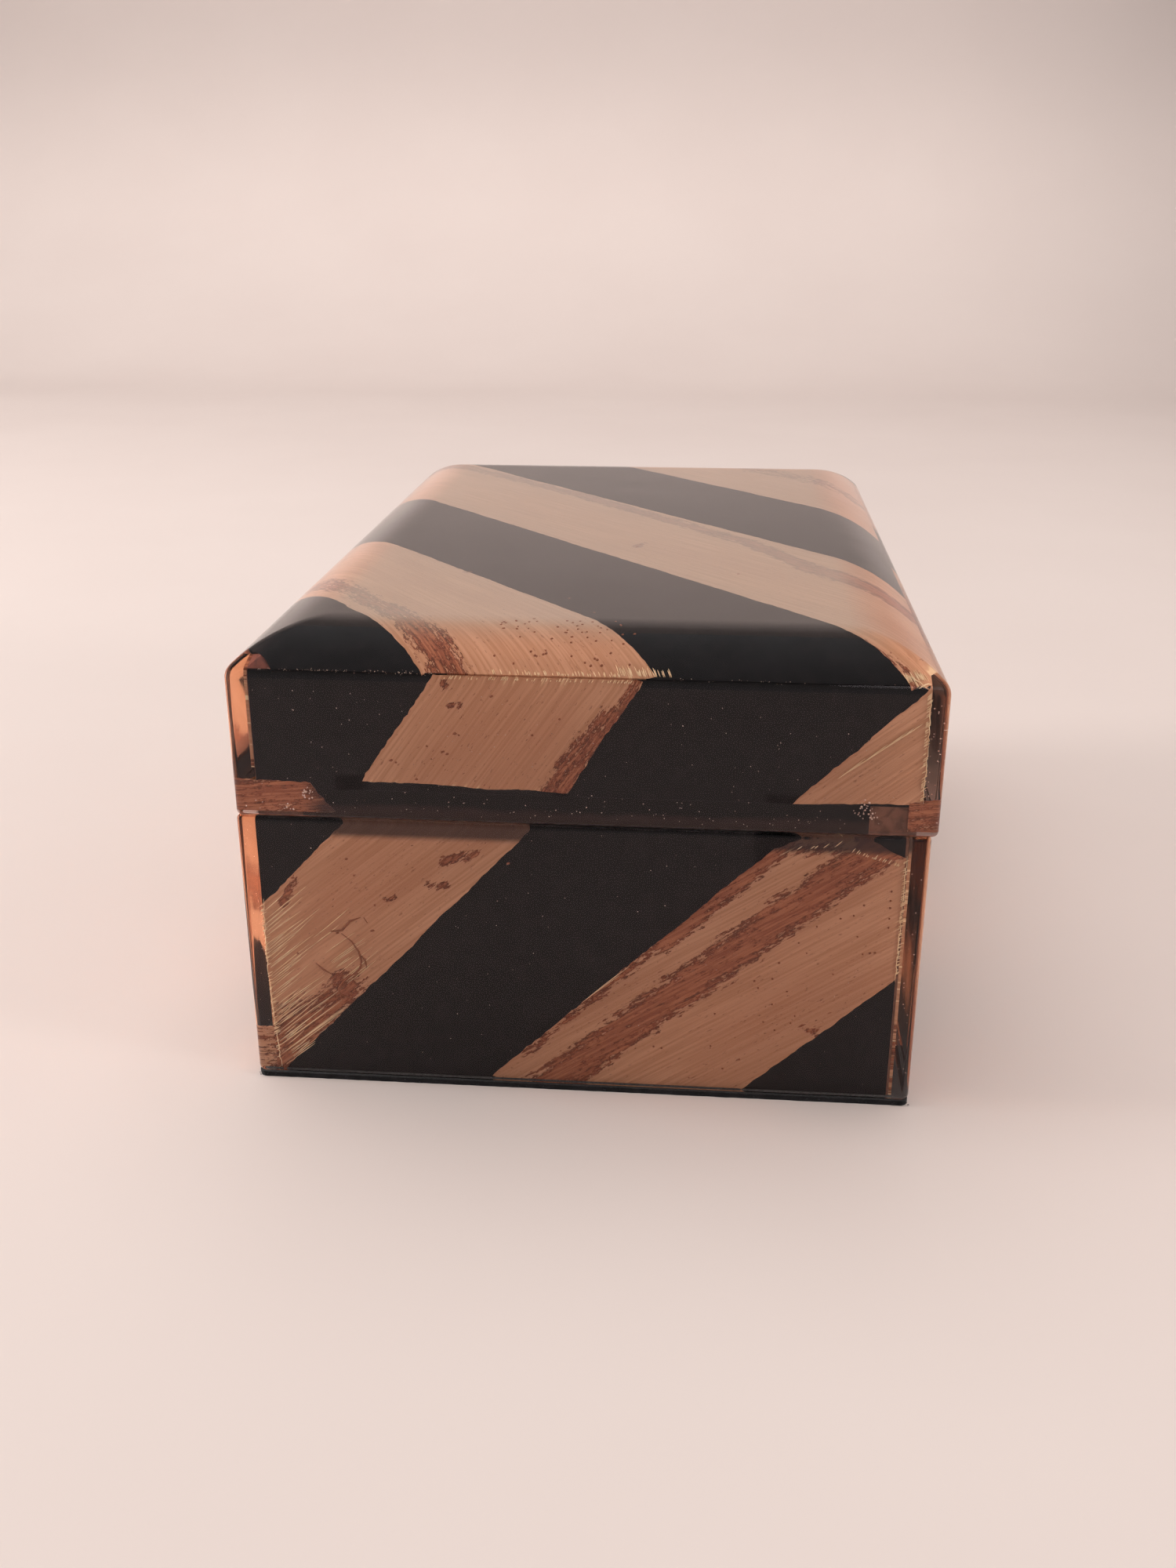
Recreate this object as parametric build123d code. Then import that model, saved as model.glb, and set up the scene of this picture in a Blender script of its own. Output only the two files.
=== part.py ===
from build123d import *
import math
import os

# A small keepsake box for dice: two halves of thin boards, dressed with slanting strips of banana
# bark and black card, cast over in clear amber resin, sawn apart at the seam and hinged with brass.
#
# Frame: X runs across the box, Y along it, Z up. The origin is on the surface that the box stands
# on, under the middle of the lid. The hinges are on the -X long side.

# ---- Outside of the box --------------------------------------------------------------------------
lid_width = 101.5            # across the lid, over the resin
lid_depth = 156.0            # along the lid, over the resin
top_height = 72.0            # floor to the flat of the lid
slope_rise = 5.5             # from the crease, where the lid's upright sides end, to its flat
slope_run = 13.0             # level distance from the lid's side to where its slope turns flat
seam_height = 44.5           # floor to the middle of the saw cut between lid and base
seam_gap = 0.3               # width of the saw cut once the box is shut
hinge_side_step = -0.25      # how far the base stands in under the lid there; negative is out
opening_overhang = 0.8       # how far the lid overhangs the base on the side that opens
end_overhang = 0.5           # how far the lid overhangs the base at each short end
corner_radius = 1.2          # upright outer corners of the resin
crease_radius = 2.5          # rounding of the resin along the lid's crease

# ---- Layers, from the outside in -----------------------------------------------------------------
resin_side = 2.5             # clear resin on the upright sides
resin_top = 2.0              # clear resin on the lid's top and slopes
strip_thickness = 0.5        # bark and black strips
wall_board = 6.0             # boards of the four walls
bottom_board = 5.0           # board that closes the base
lid_board = 9.0              # shaped board that closes the lid, at its middle
lining_thickness = 1.0       # felt inside the box
underside_felt = 0.8         # felt that the box stands on

lid_lip = 4.0                # bare resin below the lid's strips, down to its rim
base_lip = 0.6               # bare resin above the base's strips, up to its rim
rim_band_setback = 9.75      # the black bands in the lid's lip stop this far from its corners
lining_setback = 0.5         # felt stops this far short of each rim

# ---- Strips --------------------------------------------------------------------------------------
# Each pair is one cut between two strips. On a side it gives the cut's place along the side at the
# lower and the upper edge of that half of the box; on the top, its place across the box at the near
# and the far end. The strips are laid by hand, so no two cuts are quite parallel.
lid_cuts = {
    "near_end": ((-35.7, -20.4), (-5.4, 8.7), (26.0, 48.7)),
    "far_end": ((-28.0, -40.9), (8.0, -4.9), (46.0, 33.1)),
    "hinge_side": ((-33.0, -56.6), (-15.0, -38.6), (18.5, -5.1), (60.0, 36.4)),
    "opening_side": ((-32.0, -8.4), (4.0, 27.6), (55.0, 78.6)),
}
base_cuts = {
    "near_end": ((-77.2, -33.2), (-48.0, -6.3), (-14.9, 31.4), (23.6, 72.0)),
    "far_end": ((-24.0, -66.0), (14.0, -28.0), (50.0, 8.0), (88.0, 46.0)),
    "hinge_side": ((-57.5, -106.0), (-33.5, -82.5), (-3.0, -52.0), (30.0, -19.0),
                   (67.5, 18.5), (109.0, 60.0)),
    "opening_side": ((-68.0, -19.0), (-44.0, 5.0), (-4.0, 45.0), (32.0, 81.0)),
}
top_cuts = ((-22.0, -142.0), (12.3, -117.7), (47.7, -84.0), (87.5, -46.5), (127.5, -10.2))
# The strip before the first cut; strips then take turns.
first_strip = {"near_end": "black", "hinge_side": "bark", "opening_side": "bark", "top": "black"}
first_far_strip = {"lid": "bark", "base": "black"}

# ---- Hinges --------------------------------------------------------------------------------------
open_angle = 95.0            # the lid leans back this far, then its bevel rests on the base's bevel
bevel_play = 1.0             # degrees left between the two bevels at that angle
axis_inset = 0.6             # hinge axis, in from the base's outer face; the knuckles stand proud
hinge_setback = 33.0         # from each short end of the lid to the middle of a hinge
hinge_length = 25.0
knuckle_count = 3
knuckle_radius = 1.6
knuckle_gap = 0.15           # between neighbouring knuckles
leaf_width = 7.8             # from the axis to the leaf's far edge
leaf_thickness = 1.0
mortise_fit = 0.1            # room around a leaf in its mortise
knuckle_room = 0.25          # room around the knuckles in the walls
pin_radius = 0.8
pin_fit = 0.05               # radial clearance of the pin in the knuckles
pin_head_radius = 1.1
pin_head_length = 0.4
screw_pitch = 15.0           # between the two screws of a leaf
screw_length = 7.0
screw_radius = 0.8
screw_head_radius = 1.7
screw_head_depth = 0.9
screw_fit = 0.05             # room around a screw in its leaf
screw_slot_width = 0.4
screw_slot_depth = 0.35
screw_slot_turn = 35.0       # degrees that the slots are left turned from the X axis

# ---- Worked out from the sizes above -------------------------------------------------------------
near_and_far = ("near_end", "far_end")
sides = near_and_far + ("hinge_side", "opening_side")
base_rim = seam_height - seam_gap / 2
lid_rim = seam_height + seam_gap / 2
strip_depth = resin_side                        # how deep the strips' outer faces lie
board_depth = strip_depth + strip_thickness     # how deep the boards' outer faces lie
lining_depth = board_depth + wall_board
cavity_depth = lining_depth + lining_thickness
board_top = resin_top + strip_thickness         # how far the lid's board lies below its surface
crease_height = top_height - slope_rise
slope_radius = (slope_run ** 2 + slope_rise ** 2) / (2 * slope_rise)
lid_walls_top = top_height - board_top - lid_board
floor_top = underside_felt + bottom_board
hinge_places = {"near": hinge_setback - lid_depth / 2, "far": lid_depth / 2 - hinge_setback}
tool_reach = lid_width + lid_depth              # a cutting shape runs at least this far past a face


class Outline:
    """The outer width and depth of one half of the box, and its middle across the box."""

    def __init__(self, width, depth, middle):
        self.width = width
        self.depth = depth
        self.middle = middle


lid = Outline(lid_width, lid_depth, 0.0)
base = Outline(
    lid_width - hinge_side_step - opening_overhang,
    lid_depth - 2 * end_overhang,
    (hinge_side_step - opening_overhang) / 2,
)
axis_x = base.middle - base.width / 2 + axis_inset
screw_x = base.middle - base.width / 2 + board_depth + wall_board / 2


# ---- Shapes shared by both halves ----------------------------------------------------------------
def block(outline, inset, low, high):
    """A square-cornered block that stands in from the outline by an inset."""
    size = (outline.width - 2 * inset, outline.depth - 2 * inset, high - low)
    return Pos(outline.middle, 0, (low + high) / 2) * Box(*size)


def rounded_block(outline, low, high):
    """The outline raised from low to high, with the resin's rounded upright corners."""
    plan = RectangleRounded(outline.width, outline.depth, corner_radius)
    return Pos(outline.middle, 0, low) * extrude(plan, high - low)


def corner_waste(outline, x_facing, y_facing):
    """What is ground off one upright corner of the resin to round it."""
    centre_x = outline.middle + x_facing * (outline.width / 2 - corner_radius)
    centre_y = y_facing * (outline.depth / 2 - corner_radius)
    around = Box(2 * corner_radius, 2 * corner_radius, 2 * tool_reach)
    waste = Pos(centre_x + x_facing * corner_radius, centre_y + y_facing * corner_radius, 0) * around
    return waste - Pos(centre_x, centre_y, 0) * Cylinder(corner_radius, 4 * tool_reach)


def wall_slab(outline, side, outer, inner, low, high, laps_over):
    """A slab on one side, between two depths under the outer face. One that laps over its
    neighbours reaches out to its own outer depth at both ends, the others stop at the inner."""
    thickness = inner - outer
    reach = outer if laps_over else inner
    middle_z = (low + high) / 2
    if side in near_and_far:
        offset = outline.depth / 2 - outer - thickness / 2
        facing = -1 if side == "near_end" else 1
        slab = Box(outline.width - 2 * reach, thickness, high - low)
        return Pos(outline.middle, facing * offset, middle_z) * slab
    offset = outline.width / 2 - outer - thickness / 2
    facing = -1 if side == "hinge_side" else 1
    slab = Box(thickness, outline.depth - 2 * reach, high - low)
    return Pos(outline.middle + facing * offset, 0, middle_z) * slab


def slope_profile(span, inset, drop, low, rounding):
    """Half-round-shouldered profile of the lid across one span: upright sides, convex slopes and
    a flat top. The inset draws the sides in, the drop lowers the surface along its own normal."""
    half = span / 2 - inset
    radius = slope_radius - drop
    centre_u = span / 2 - slope_run
    centre_z = top_height - slope_radius
    top_z = top_height - drop
    if rounding > 0:
        # A small arc, tangent inside both the upright side and the slope.
        small_u = half - rounding
        small_z = centre_z + math.sqrt((radius - rounding) ** 2 - (small_u - centre_u) ** 2)
        turn = math.atan2(small_z - centre_z, small_u - centre_u)
        side_end = (half, small_z)
        slope_start = (centre_u + radius * math.cos(turn), centre_z + radius * math.sin(turn))
        half_turn = turn / 2
        small_middle = (small_u + rounding * math.cos(half_turn), small_z + rounding * math.sin(half_turn))
    else:
        turn = math.acos((half - centre_u) / radius)
        side_end = (half, centre_z + radius * math.sin(turn))
        slope_start = side_end
    halfway = (turn + math.pi / 2) / 2
    slope_middle = (centre_u + radius * math.cos(halfway), centre_z + radius * math.sin(halfway))
    slope_end = (centre_u, top_z)

    def mirrored(point):
        return (-point[0], point[1])

    right = [Line((half, low), side_end), ThreePointArc(slope_start, slope_middle, slope_end)]
    left = [
        ThreePointArc(mirrored(slope_end), mirrored(slope_middle), mirrored(slope_start)),
        Line(mirrored(side_end), (-half, low)),
    ]
    if rounding > 0:
        right.insert(1, ThreePointArc(side_end, small_middle, slope_start))
        left.insert(1, ThreePointArc(mirrored(slope_start), mirrored(small_middle), mirrored(side_end)))
    flat = Line(slope_end, mirrored(slope_end))
    closing = Line((-half, low), (half, low))
    return make_face(Wire(right + [flat] + left + [closing]))


def cushion(inset, drop, low, rounding=0.0):
    """The lid's pillow form: its two profiles, drawn out across each other and intersected."""
    across = extrude(Plane.XZ * slope_profile(lid.width, inset, drop, low, rounding), lid.depth, both=True)
    along = extrude(Plane.YZ * slope_profile(lid.depth, inset, drop, low, rounding), lid.width, both=True)
    return across & along


# ---- Strips --------------------------------------------------------------------------------------
def bands(panel, plane, cuts, low, high, first):
    """Slices a thin panel along the cuts and sorts the slices into bark and black."""
    first_edge = (cuts[0][0] - tool_reach, cuts[0][1] - tool_reach)
    last_edge = (cuts[-1][0] + tool_reach, cuts[-1][1] + tool_reach)
    fence = [first_edge] + list(cuts) + [last_edge]
    kinds = ("bark", "black") if first == "bark" else ("black", "bark")
    sorted_slices = {"bark": [], "black": []}

    def along(cut, height):
        share = (height - low) / (high - low)
        return (cut[0] + (cut[1] - cut[0]) * share, height)

    under = low - (high - low)
    over = high + (high - low)
    for number, (start, end) in enumerate(zip(fence, fence[1:])):
        corners = [along(start, under), along(end, under), along(end, over), along(start, over)]
        knife = extrude(plane * make_face(Polyline(*corners, close=True)), tool_reach, both=True)
        for slice_ in (panel & knife).solids():
            sorted_slices[kinds[number % 2]].append(slice_)
    return sorted_slices


def side_plane(side):
    """Plane whose first axis runs along a side and whose second axis points up."""
    return Plane.XZ if side in near_and_far else Plane.YZ


def side_first(side, half):
    """Kind of strip before a side's first cut."""
    return first_far_strip[half] if side == "far_end" else first_strip[side]


# ---- Hinge cuts and hinges -----------------------------------------------------------------------
def bevel(up):
    """Wedge that is planed off the back of the base (up = -1) or of the lid (up = 1), so that the
    lid leans back until the two bevels meet."""
    drop = tool_reach * math.tan(math.radians((open_angle + bevel_play) / 2))
    outer_x = axis_x - tool_reach
    corners = [(axis_x, seam_height), (outer_x, seam_height), (outer_x, seam_height + up * drop)]
    face = Plane.XZ * make_face(Polyline(*corners, close=True))
    return extrude(face, lid.depth, both=True)


def along_y(radius, length, y):
    """Round bar along the hinge axis, centred at y."""
    return Pos(axis_x, y, seam_height) * Rot(90, 0, 0) * Cylinder(radius, length)


def mortise(up, y):
    """Room for one leaf and for the knuckles, cut into a wall's rim."""
    rim = lid_rim if up > 0 else base_rim
    outer = axis_x - knuckle_radius - knuckle_room
    inner = axis_x + leaf_width + mortise_fit
    size = (inner - outer, hinge_length + 2 * mortise_fit, leaf_thickness)
    room = Pos((outer + inner) / 2, y, rim + up * leaf_thickness / 2) * Box(*size)
    pin_span = hinge_length + 2 * pin_head_length
    return room + along_y(knuckle_radius + knuckle_room, pin_span + 2 * knuckle_room, y)


def screw_places(y):
    return (y - screw_pitch / 2, y + screw_pitch / 2)


def screw_body(up, y, room):
    """One countersunk screw, its head flush with the leaf, or the hole for it if room is given."""
    rim = lid_rim if up > 0 else base_rim
    head = Cone(screw_radius + room, screw_head_radius + room, screw_head_depth)
    shank = Cylinder(screw_radius + room, screw_length)
    screw = Pos(0, 0, -screw_head_depth / 2) * head + Pos(0, 0, -screw_length / 2) * shank
    turned = screw if up < 0 else Rot(180, 0, 0) * screw
    return Pos(screw_x, y, rim) * turned


def screw_slot(up, y):
    rim = lid_rim if up > 0 else base_rim
    slot = Box(2 * screw_head_radius + 2 * screw_fit, screw_slot_width, 2 * screw_slot_depth)
    return Pos(screw_x, y, rim) * Rot(0, 0, screw_slot_turn) * slot


def hinge_leaf(up, y, own_knuckles):
    """A leaf with its own knuckles, bored for the pin and countersunk for two screws."""
    rim = lid_rim if up > 0 else base_rim
    plate_z = rim + up * leaf_thickness / 2
    start = axis_x + knuckle_radius + knuckle_room
    end = axis_x + leaf_width
    leaf = Pos((start + end) / 2, y, plate_z) * Box(end - start, hinge_length, leaf_thickness)
    pitch = hinge_length / knuckle_count
    for number in own_knuckles:
        middle = y - hinge_length / 2 + (number + 0.5) * pitch
        length = pitch - knuckle_gap
        tongue = Pos((axis_x + start) / 2, middle, plate_z) * Box(start - axis_x, length, leaf_thickness)
        leaf += tongue + along_y(knuckle_radius, length, middle)
    leaf -= along_y(pin_radius + pin_fit, 2 * hinge_length, y)
    for place in screw_places(y):
        leaf -= screw_body(up, place, screw_fit)
    return leaf


def hinge_pin(y):
    """Pin through all the knuckles, with a low peened head at each end."""
    pin = along_y(pin_radius, hinge_length, y)
    for end in (-1, 1):
        pin += along_y(pin_head_radius, pin_head_length, y + end * (hinge_length + pin_head_length) / 2)
    return pin


def hinge_screws(up):
    screws = []
    for y in hinge_places.values():
        for place in screw_places(y):
            screws.append(screw_body(up, place, 0.0) - screw_slot(up, place))
    return screws


def cut_for_hinges(solid, up):
    """Takes the bevel, the mortises and the screw holes out of a piece on the hinge side."""
    solid -= bevel(up)
    for y in hinge_places.values():
        solid -= mortise(up, y)
        for place in screw_places(y):
            solid -= screw_body(up, place, 0.0)
    return solid


# ---- Base ----------------------------------------------------------------------------------------
def build_base(nodes):
    nodes["underside_felt"] = [rounded_block(base, 0.0, underside_felt)]
    nodes["base_bottom_board"] = [block(base, lining_depth, underside_felt, floor_top)]
    coat = rounded_block(base, underside_felt, base_rim) - block(base, board_depth, 0.0, top_height)
    for side in sides:
        ends = side in near_and_far
        hinged = side == "hinge_side"
        board = wall_slab(base, side, board_depth, lining_depth, underside_felt, base_rim, not ends)
        panel = wall_slab(base, side, strip_depth, board_depth, underside_felt, base_rim - base_lip, ends)
        coat -= panel
        if hinged:
            board = cut_for_hinges(board, -1)
            panel = cut_for_hinges(panel, -1)
        nodes["base_" + side + "_board"] = [board]
        first = side_first(side, "base")
        strips = bands(panel, side_plane(side), base_cuts[side], 0.0, seam_height, first)
        for kind, slices in strips.items():
            nodes["base_" + side + "_" + kind + "_strips"] = slices
        felt_low = floor_top + lining_thickness
        felt_high = base_rim - lining_setback
        nodes["base_" + side + "_lining"] = [
            wall_slab(base, side, lining_depth, cavity_depth, felt_low, felt_high, ends)
        ]
    nodes["base_floor_lining"] = [block(base, lining_depth, floor_top, floor_top + lining_thickness)]
    nodes["base_resin_coat"] = [cut_for_hinges(coat, -1)]


# ---- Lid -----------------------------------------------------------------------------------------
def build_lid(nodes):
    shell = cushion(0.0, 0.0, lid_rim, crease_radius)
    for x_facing in (-1, 1):
        for y_facing in (-1, 1):
            shell -= corner_waste(lid, x_facing, y_facing)
    under_strips = cushion(strip_depth, board_top, lid_rim)
    top_layer = cushion(strip_depth, resin_top, lid_rim) - under_strips
    shell -= cushion(board_depth, board_top, lid_rim)
    shell -= top_layer
    rim_bands = []
    for side in sides:
        ends = side in near_and_far
        hinged = side == "hinge_side"
        board = wall_slab(lid, side, board_depth, lining_depth, lid_rim, lid_walls_top, not ends)
        panel = wall_slab(lid, side, strip_depth, board_depth, lid_rim + lid_lip, top_height, ends)
        panel &= under_strips
        run = lid.width if ends else lid.depth
        band = wall_slab(lid, side, strip_depth, board_depth, lid_rim, lid_rim + lid_lip, ends)
        if ends:
            band &= Box(run - 2 * rim_band_setback, 2 * lid.depth, 2 * top_height)
        else:
            band &= Box(2 * lid.width, run - 2 * rim_band_setback, 2 * top_height)
        shell -= panel
        shell -= band
        if hinged:
            board = cut_for_hinges(board, 1)
            panel = cut_for_hinges(panel, 1)
            band = cut_for_hinges(band, 1)
        nodes["lid_" + side + "_board"] = [board]
        rim_bands += band.solids()
        first = side_first(side, "lid")
        strips = bands(panel, side_plane(side), lid_cuts[side], seam_height, crease_height, first)
        for kind, slices in strips.items():
            nodes["lid_" + side + "_" + kind + "_strips"] = slices
        nodes["lid_" + side + "_lining"] = [
            wall_slab(lid, side, lining_depth, cavity_depth, lid_rim + lining_setback,
                      lid_walls_top - lining_thickness, ends)
        ]
    nodes["lid_rim_bands"] = rim_bands
    nodes["lid_top_board"] = [cushion(board_depth, board_top, lid_walls_top)]
    nodes["lid_ceiling_lining"] = [block(lid, lining_depth, lid_walls_top - lining_thickness, lid_walls_top)]
    half = lid.depth / 2
    for kind, slices in bands(top_layer, Plane.XY, top_cuts, -half, half, first_strip["top"]).items():
        nodes["lid_top_" + kind + "_strips"] = slices
    nodes["lid_resin_shell"] = [cut_for_hinges(shell, 1)]


# ---- Hinges --------------------------------------------------------------------------------------
def build_hinges(nodes):
    knuckles = range(knuckle_count)
    for name, y in hinge_places.items():
        nodes[name + "_hinge_base_leaf"] = [hinge_leaf(-1, y, knuckles[0::2])]
        nodes[name + "_hinge_lid_leaf"] = [hinge_leaf(1, y, knuckles[1::2])]
        nodes[name + "_hinge_pin"] = [hinge_pin(y)]
    nodes["base_hinge_screws"] = hinge_screws(-1)
    nodes["lid_hinge_screws"] = hinge_screws(1)


def write(nodes):
    os.makedirs("parts", exist_ok=True)
    for name, pieces in nodes.items():
        solids = [solid for piece in pieces for solid in piece.solids()]
        shape = solids[0] if len(solids) == 1 else Compound(children=solids)
        export_step(shape, "parts/" + name + ".step")


model = {}
build_base(model)
build_lid(model)
build_hinges(model)
write(model)
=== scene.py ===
import math
import random

import bmesh
import bpy
from mathutils import Euler, Matrix, Vector, noise


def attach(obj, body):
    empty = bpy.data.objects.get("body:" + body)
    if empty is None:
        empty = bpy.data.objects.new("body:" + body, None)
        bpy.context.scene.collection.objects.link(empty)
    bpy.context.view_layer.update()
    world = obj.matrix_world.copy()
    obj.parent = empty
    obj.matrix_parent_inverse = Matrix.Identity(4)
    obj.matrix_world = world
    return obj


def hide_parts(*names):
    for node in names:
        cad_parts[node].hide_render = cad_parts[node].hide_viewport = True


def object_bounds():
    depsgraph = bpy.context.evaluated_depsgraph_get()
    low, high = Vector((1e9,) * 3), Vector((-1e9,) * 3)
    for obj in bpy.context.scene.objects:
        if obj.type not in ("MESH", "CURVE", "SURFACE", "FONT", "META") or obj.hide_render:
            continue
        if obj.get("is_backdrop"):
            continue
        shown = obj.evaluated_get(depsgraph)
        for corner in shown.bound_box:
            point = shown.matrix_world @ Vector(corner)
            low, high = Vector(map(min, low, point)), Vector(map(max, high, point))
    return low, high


# A keepsake box for dice, built up from the wood outwards: boards, strips of banana bark and black
# card, cast amber resin, brass hinges, felt. Every length is in metres, by way of millimetres.
MM = 0.001
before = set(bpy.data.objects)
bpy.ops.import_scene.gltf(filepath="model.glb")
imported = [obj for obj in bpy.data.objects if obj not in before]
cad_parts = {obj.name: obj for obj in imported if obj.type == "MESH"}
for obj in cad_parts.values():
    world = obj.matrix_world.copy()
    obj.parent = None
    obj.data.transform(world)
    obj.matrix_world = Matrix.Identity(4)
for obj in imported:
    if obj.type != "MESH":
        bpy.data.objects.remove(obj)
cad_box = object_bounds()


# ---- Boards --------------------------------------------------------------------------------------
# Thin boards of planed softwood, glued up into the two halves. They are the CAD's own solids: they
# show at the rims of the open box and, dimly, behind the bare resin of its corners.
def linear(code):
    """An sRGB hex colour as the linear values that a shader reads."""
    channels = [int(code[i:i + 2], 16) / 255 for i in (1, 3, 5)]
    return [c / 12.92 if c <= 0.04045 else ((c + 0.055) / 1.055) ** 2.4 for c in channels] + [1.0]


# The inputs of a Mix node for colours: the share of the second colour, and the two colours.
FACTOR, UNDER, OVER = 0, 6, 7


def add_node(owner, kind, inputs=None, **settings):
    """Adds one node to a material or to the room's world, with its settings. Each input is given a
    value, a hex colour, or the node or output that feeds it; a node feeds it from its main output."""
    tree = owner.node_tree
    node = tree.nodes.new("ShaderNode" + kind)
    for name, setting in settings.items():
        setattr(node, name, setting)
    for socket, source in (inputs or {}).items():
        if isinstance(source, bpy.types.Node):
            source = next(output for output in source.outputs if output.enabled)
        if isinstance(source, bpy.types.NodeSocket):
            tree.links.new(source, node.inputs[socket])
        elif isinstance(source, str):
            node.inputs[socket].default_value = linear(source)
        else:
            node.inputs[socket].default_value = source
    return node


def new_material(name):
    """A material with no nodes yet."""
    material = bpy.data.materials.new(name)
    material.use_nodes = True
    material.node_tree.nodes.clear()
    return material


def wear(piece, material):
    """Gives the whole piece one material."""
    piece.data.materials.clear()
    piece.data.materials.append(material)


board_nodes = {
    "along_x": ["base_near_end_board", "base_far_end_board", "lid_near_end_board",
                "lid_far_end_board"],
    "along_y": ["base_hinge_side_board", "base_opening_side_board", "lid_hinge_side_board",
                "lid_opening_side_board", "base_bottom_board", "lid_top_board"],
}
# Softwood: growth rings 1.6 mm apart that run on for about 70 mm, fine pores between them.
ring_scale = {"along_x": (14, 620, 620), "along_y": (620, 14, 620)}
pore_scale = {"along_x": (220, 5200, 5200), "along_y": (5200, 220, 5200)}
soaked_above = 60.0             # mm up: higher wood is the top of the lid
for grain, names in board_nodes.items():
    softwood = new_material("planed_softwood_" + grain)
    place = add_node(softwood, "TexCoord")
    ring_place = add_node(softwood, "Mapping",
                          {"Vector": place.outputs["Object"], "Scale": ring_scale[grain]})
    rings = add_node(softwood, "TexNoise",
                     {"Vector": ring_place, "Scale": 1.0, "Detail": 4.0, "Roughness": 0.55,
                      "Distortion": 0.4})
    late_wood = add_node(softwood, "MapRange", {"Value": rings, "From Min": 0.42, "From Max": 0.66},
                         interpolation_type="SMOOTHSTEP")
    pore_place = add_node(softwood, "Mapping",
                          {"Vector": place.outputs["Object"], "Scale": pore_scale[grain]})
    pores = add_node(softwood, "TexNoise",
                     {"Vector": pore_place, "Scale": 1.0, "Detail": 3.0, "Roughness": 0.6})
    ring_colour = add_node(softwood, "Mix", {FACTOR: late_wood, UNDER: "#d9b68c", OVER: "#b98655"},
                           data_type="RGBA")
    pore_colour = add_node(softwood, "Mix",
                           {FACTOR: 0.5, UNDER: ring_colour, OVER: pores.outputs["Color"]},
                           data_type="RGBA", blend_type="MULTIPLY")
    tone = add_node(softwood, "Mix", {FACTOR: 0.35, UNDER: ring_colour, OVER: pore_colour},
                    data_type="RGBA")
    # Resin has soaked into the faces that point outwards, and into the top of the lid, and turned them
    # a dark red brown.
    level = add_node(softwood, "SeparateXYZ", {0: place.outputs["Normal"]})
    steep = add_node(softwood, "Math", {0: level.outputs["Z"]}, operation="ABSOLUTE")
    outward = add_node(softwood, "MapRange",
                       {"Value": steep, "From Min": 0.3, "From Max": 0.6, "To Min": 0.9, "To Max": 0.0})
    height = add_node(softwood, "SeparateXYZ", {0: place.outputs["Object"]})
    on_top = add_node(softwood, "Math", {0: height.outputs["Z"], 1: soaked_above * MM},
                      operation="GREATER_THAN")
    soaked = add_node(softwood, "Math", {0: outward, 1: on_top}, operation="MAXIMUM")
    soaked_tone = add_node(softwood, "Mix", {FACTOR: late_wood, UNDER: "#6d3526", OVER: "#4b241c"},
                           data_type="RGBA")
    wood = add_node(softwood, "Mix", {FACTOR: soaked, UNDER: tone, OVER: soaked_tone}, data_type="RGBA")
    relief = add_node(softwood, "Bump", {"Height": pores, "Strength": 0.5, "Distance": 0.03 * MM})
    rough = add_node(softwood, "MapRange", {"Value": rings, "To Min": 0.55, "To Max": 0.75})
    surface = add_node(softwood, "BsdfPrincipled",
                       {"Base Color": wood, "Roughness": rough, "Normal": relief})
    add_node(softwood, "OutputMaterial", {"Surface": surface})
    for name in names:
        wear(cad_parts[name], softwood)


# ---- Bark strips ---------------------------------------------------------------------------------
# Strips of dried banana bark, half a millimetre thick, cut by hand and glued aslant over the boards
# before the resin is cast. Their edges wander, and their fibres run at their own angle.
seam_z = 44.5                   # height of the saw cut between the base and the lid
half_kerf = 0.15                # half of what the saw took away there
lid_half = (50.75, 78.0)        # half the lid's width and depth, over the resin
base_sides = (-51.0, 49.95)     # the base's hinge side and opening side, over the resin
base_half_depth = 77.5
slope_run = 13.0                # level distance over which the lid's slopes curve in to its flat
slope_radius = 18.1136
slope_centre_z = 53.8863
slope_end = 12.2                # level distance at which the strips leave the slopes' curve
squareness = 12                 # how squarely the slopes' outlines turn the lid's corners
bark_depth = 2.5                # how deep the bark's face lies under the resin of the sides
bark_drop = 2.0                 # and under the resin of the lid's top
bark_thickness = 0.46
bark_raggedness = 0.42          # how far the edge of a strip may wander
strip_smoothing = math.radians(40)

# The faces that carry strips, in mm: the low and high corner of each panel, along the face and up,
# the places where the face lies, and the heights between which its cuts are measured. The top's
# panel is seen from above, from its near left corner to its far right one.
lid_heights = (seam_z, 66.5)
base_heights = (0.0, seam_z)
faces = {
    "base_near_end": {"low": (-48.5, 0.9), "high": (46.6, 43.75), "level": base_heights},
    "base_far_end": {"low": (-48.5, 0.8), "high": (47.45, 43.75), "level": base_heights},
    "base_hinge_side": {"low": (-74.5, 0.8), "high": (74.5, 43.75), "level": base_heights},
    "base_opening_side": {"low": (-74.5, 0.8), "high": (74.5, 43.75), "level": base_heights},
    "lid_near_end": {"low": (-47.6, 48.65), "high": (48.25, 65.87), "level": lid_heights},
    "lid_far_end": {"low": (-48.25, 48.65), "high": (48.25, 65.87), "level": lid_heights},
    "lid_hinge_side": {"low": (-75.0, 48.65), "high": (75.0, 65.87), "level": lid_heights},
    "lid_opening_side": {"low": (-75.0, 48.65), "high": (75.0, 65.87), "level": lid_heights},
    "lid_top": {"low": (-48.25, -75.5), "high": (48.25, 75.5), "level": (-78.0, 78.0)},
}
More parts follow.
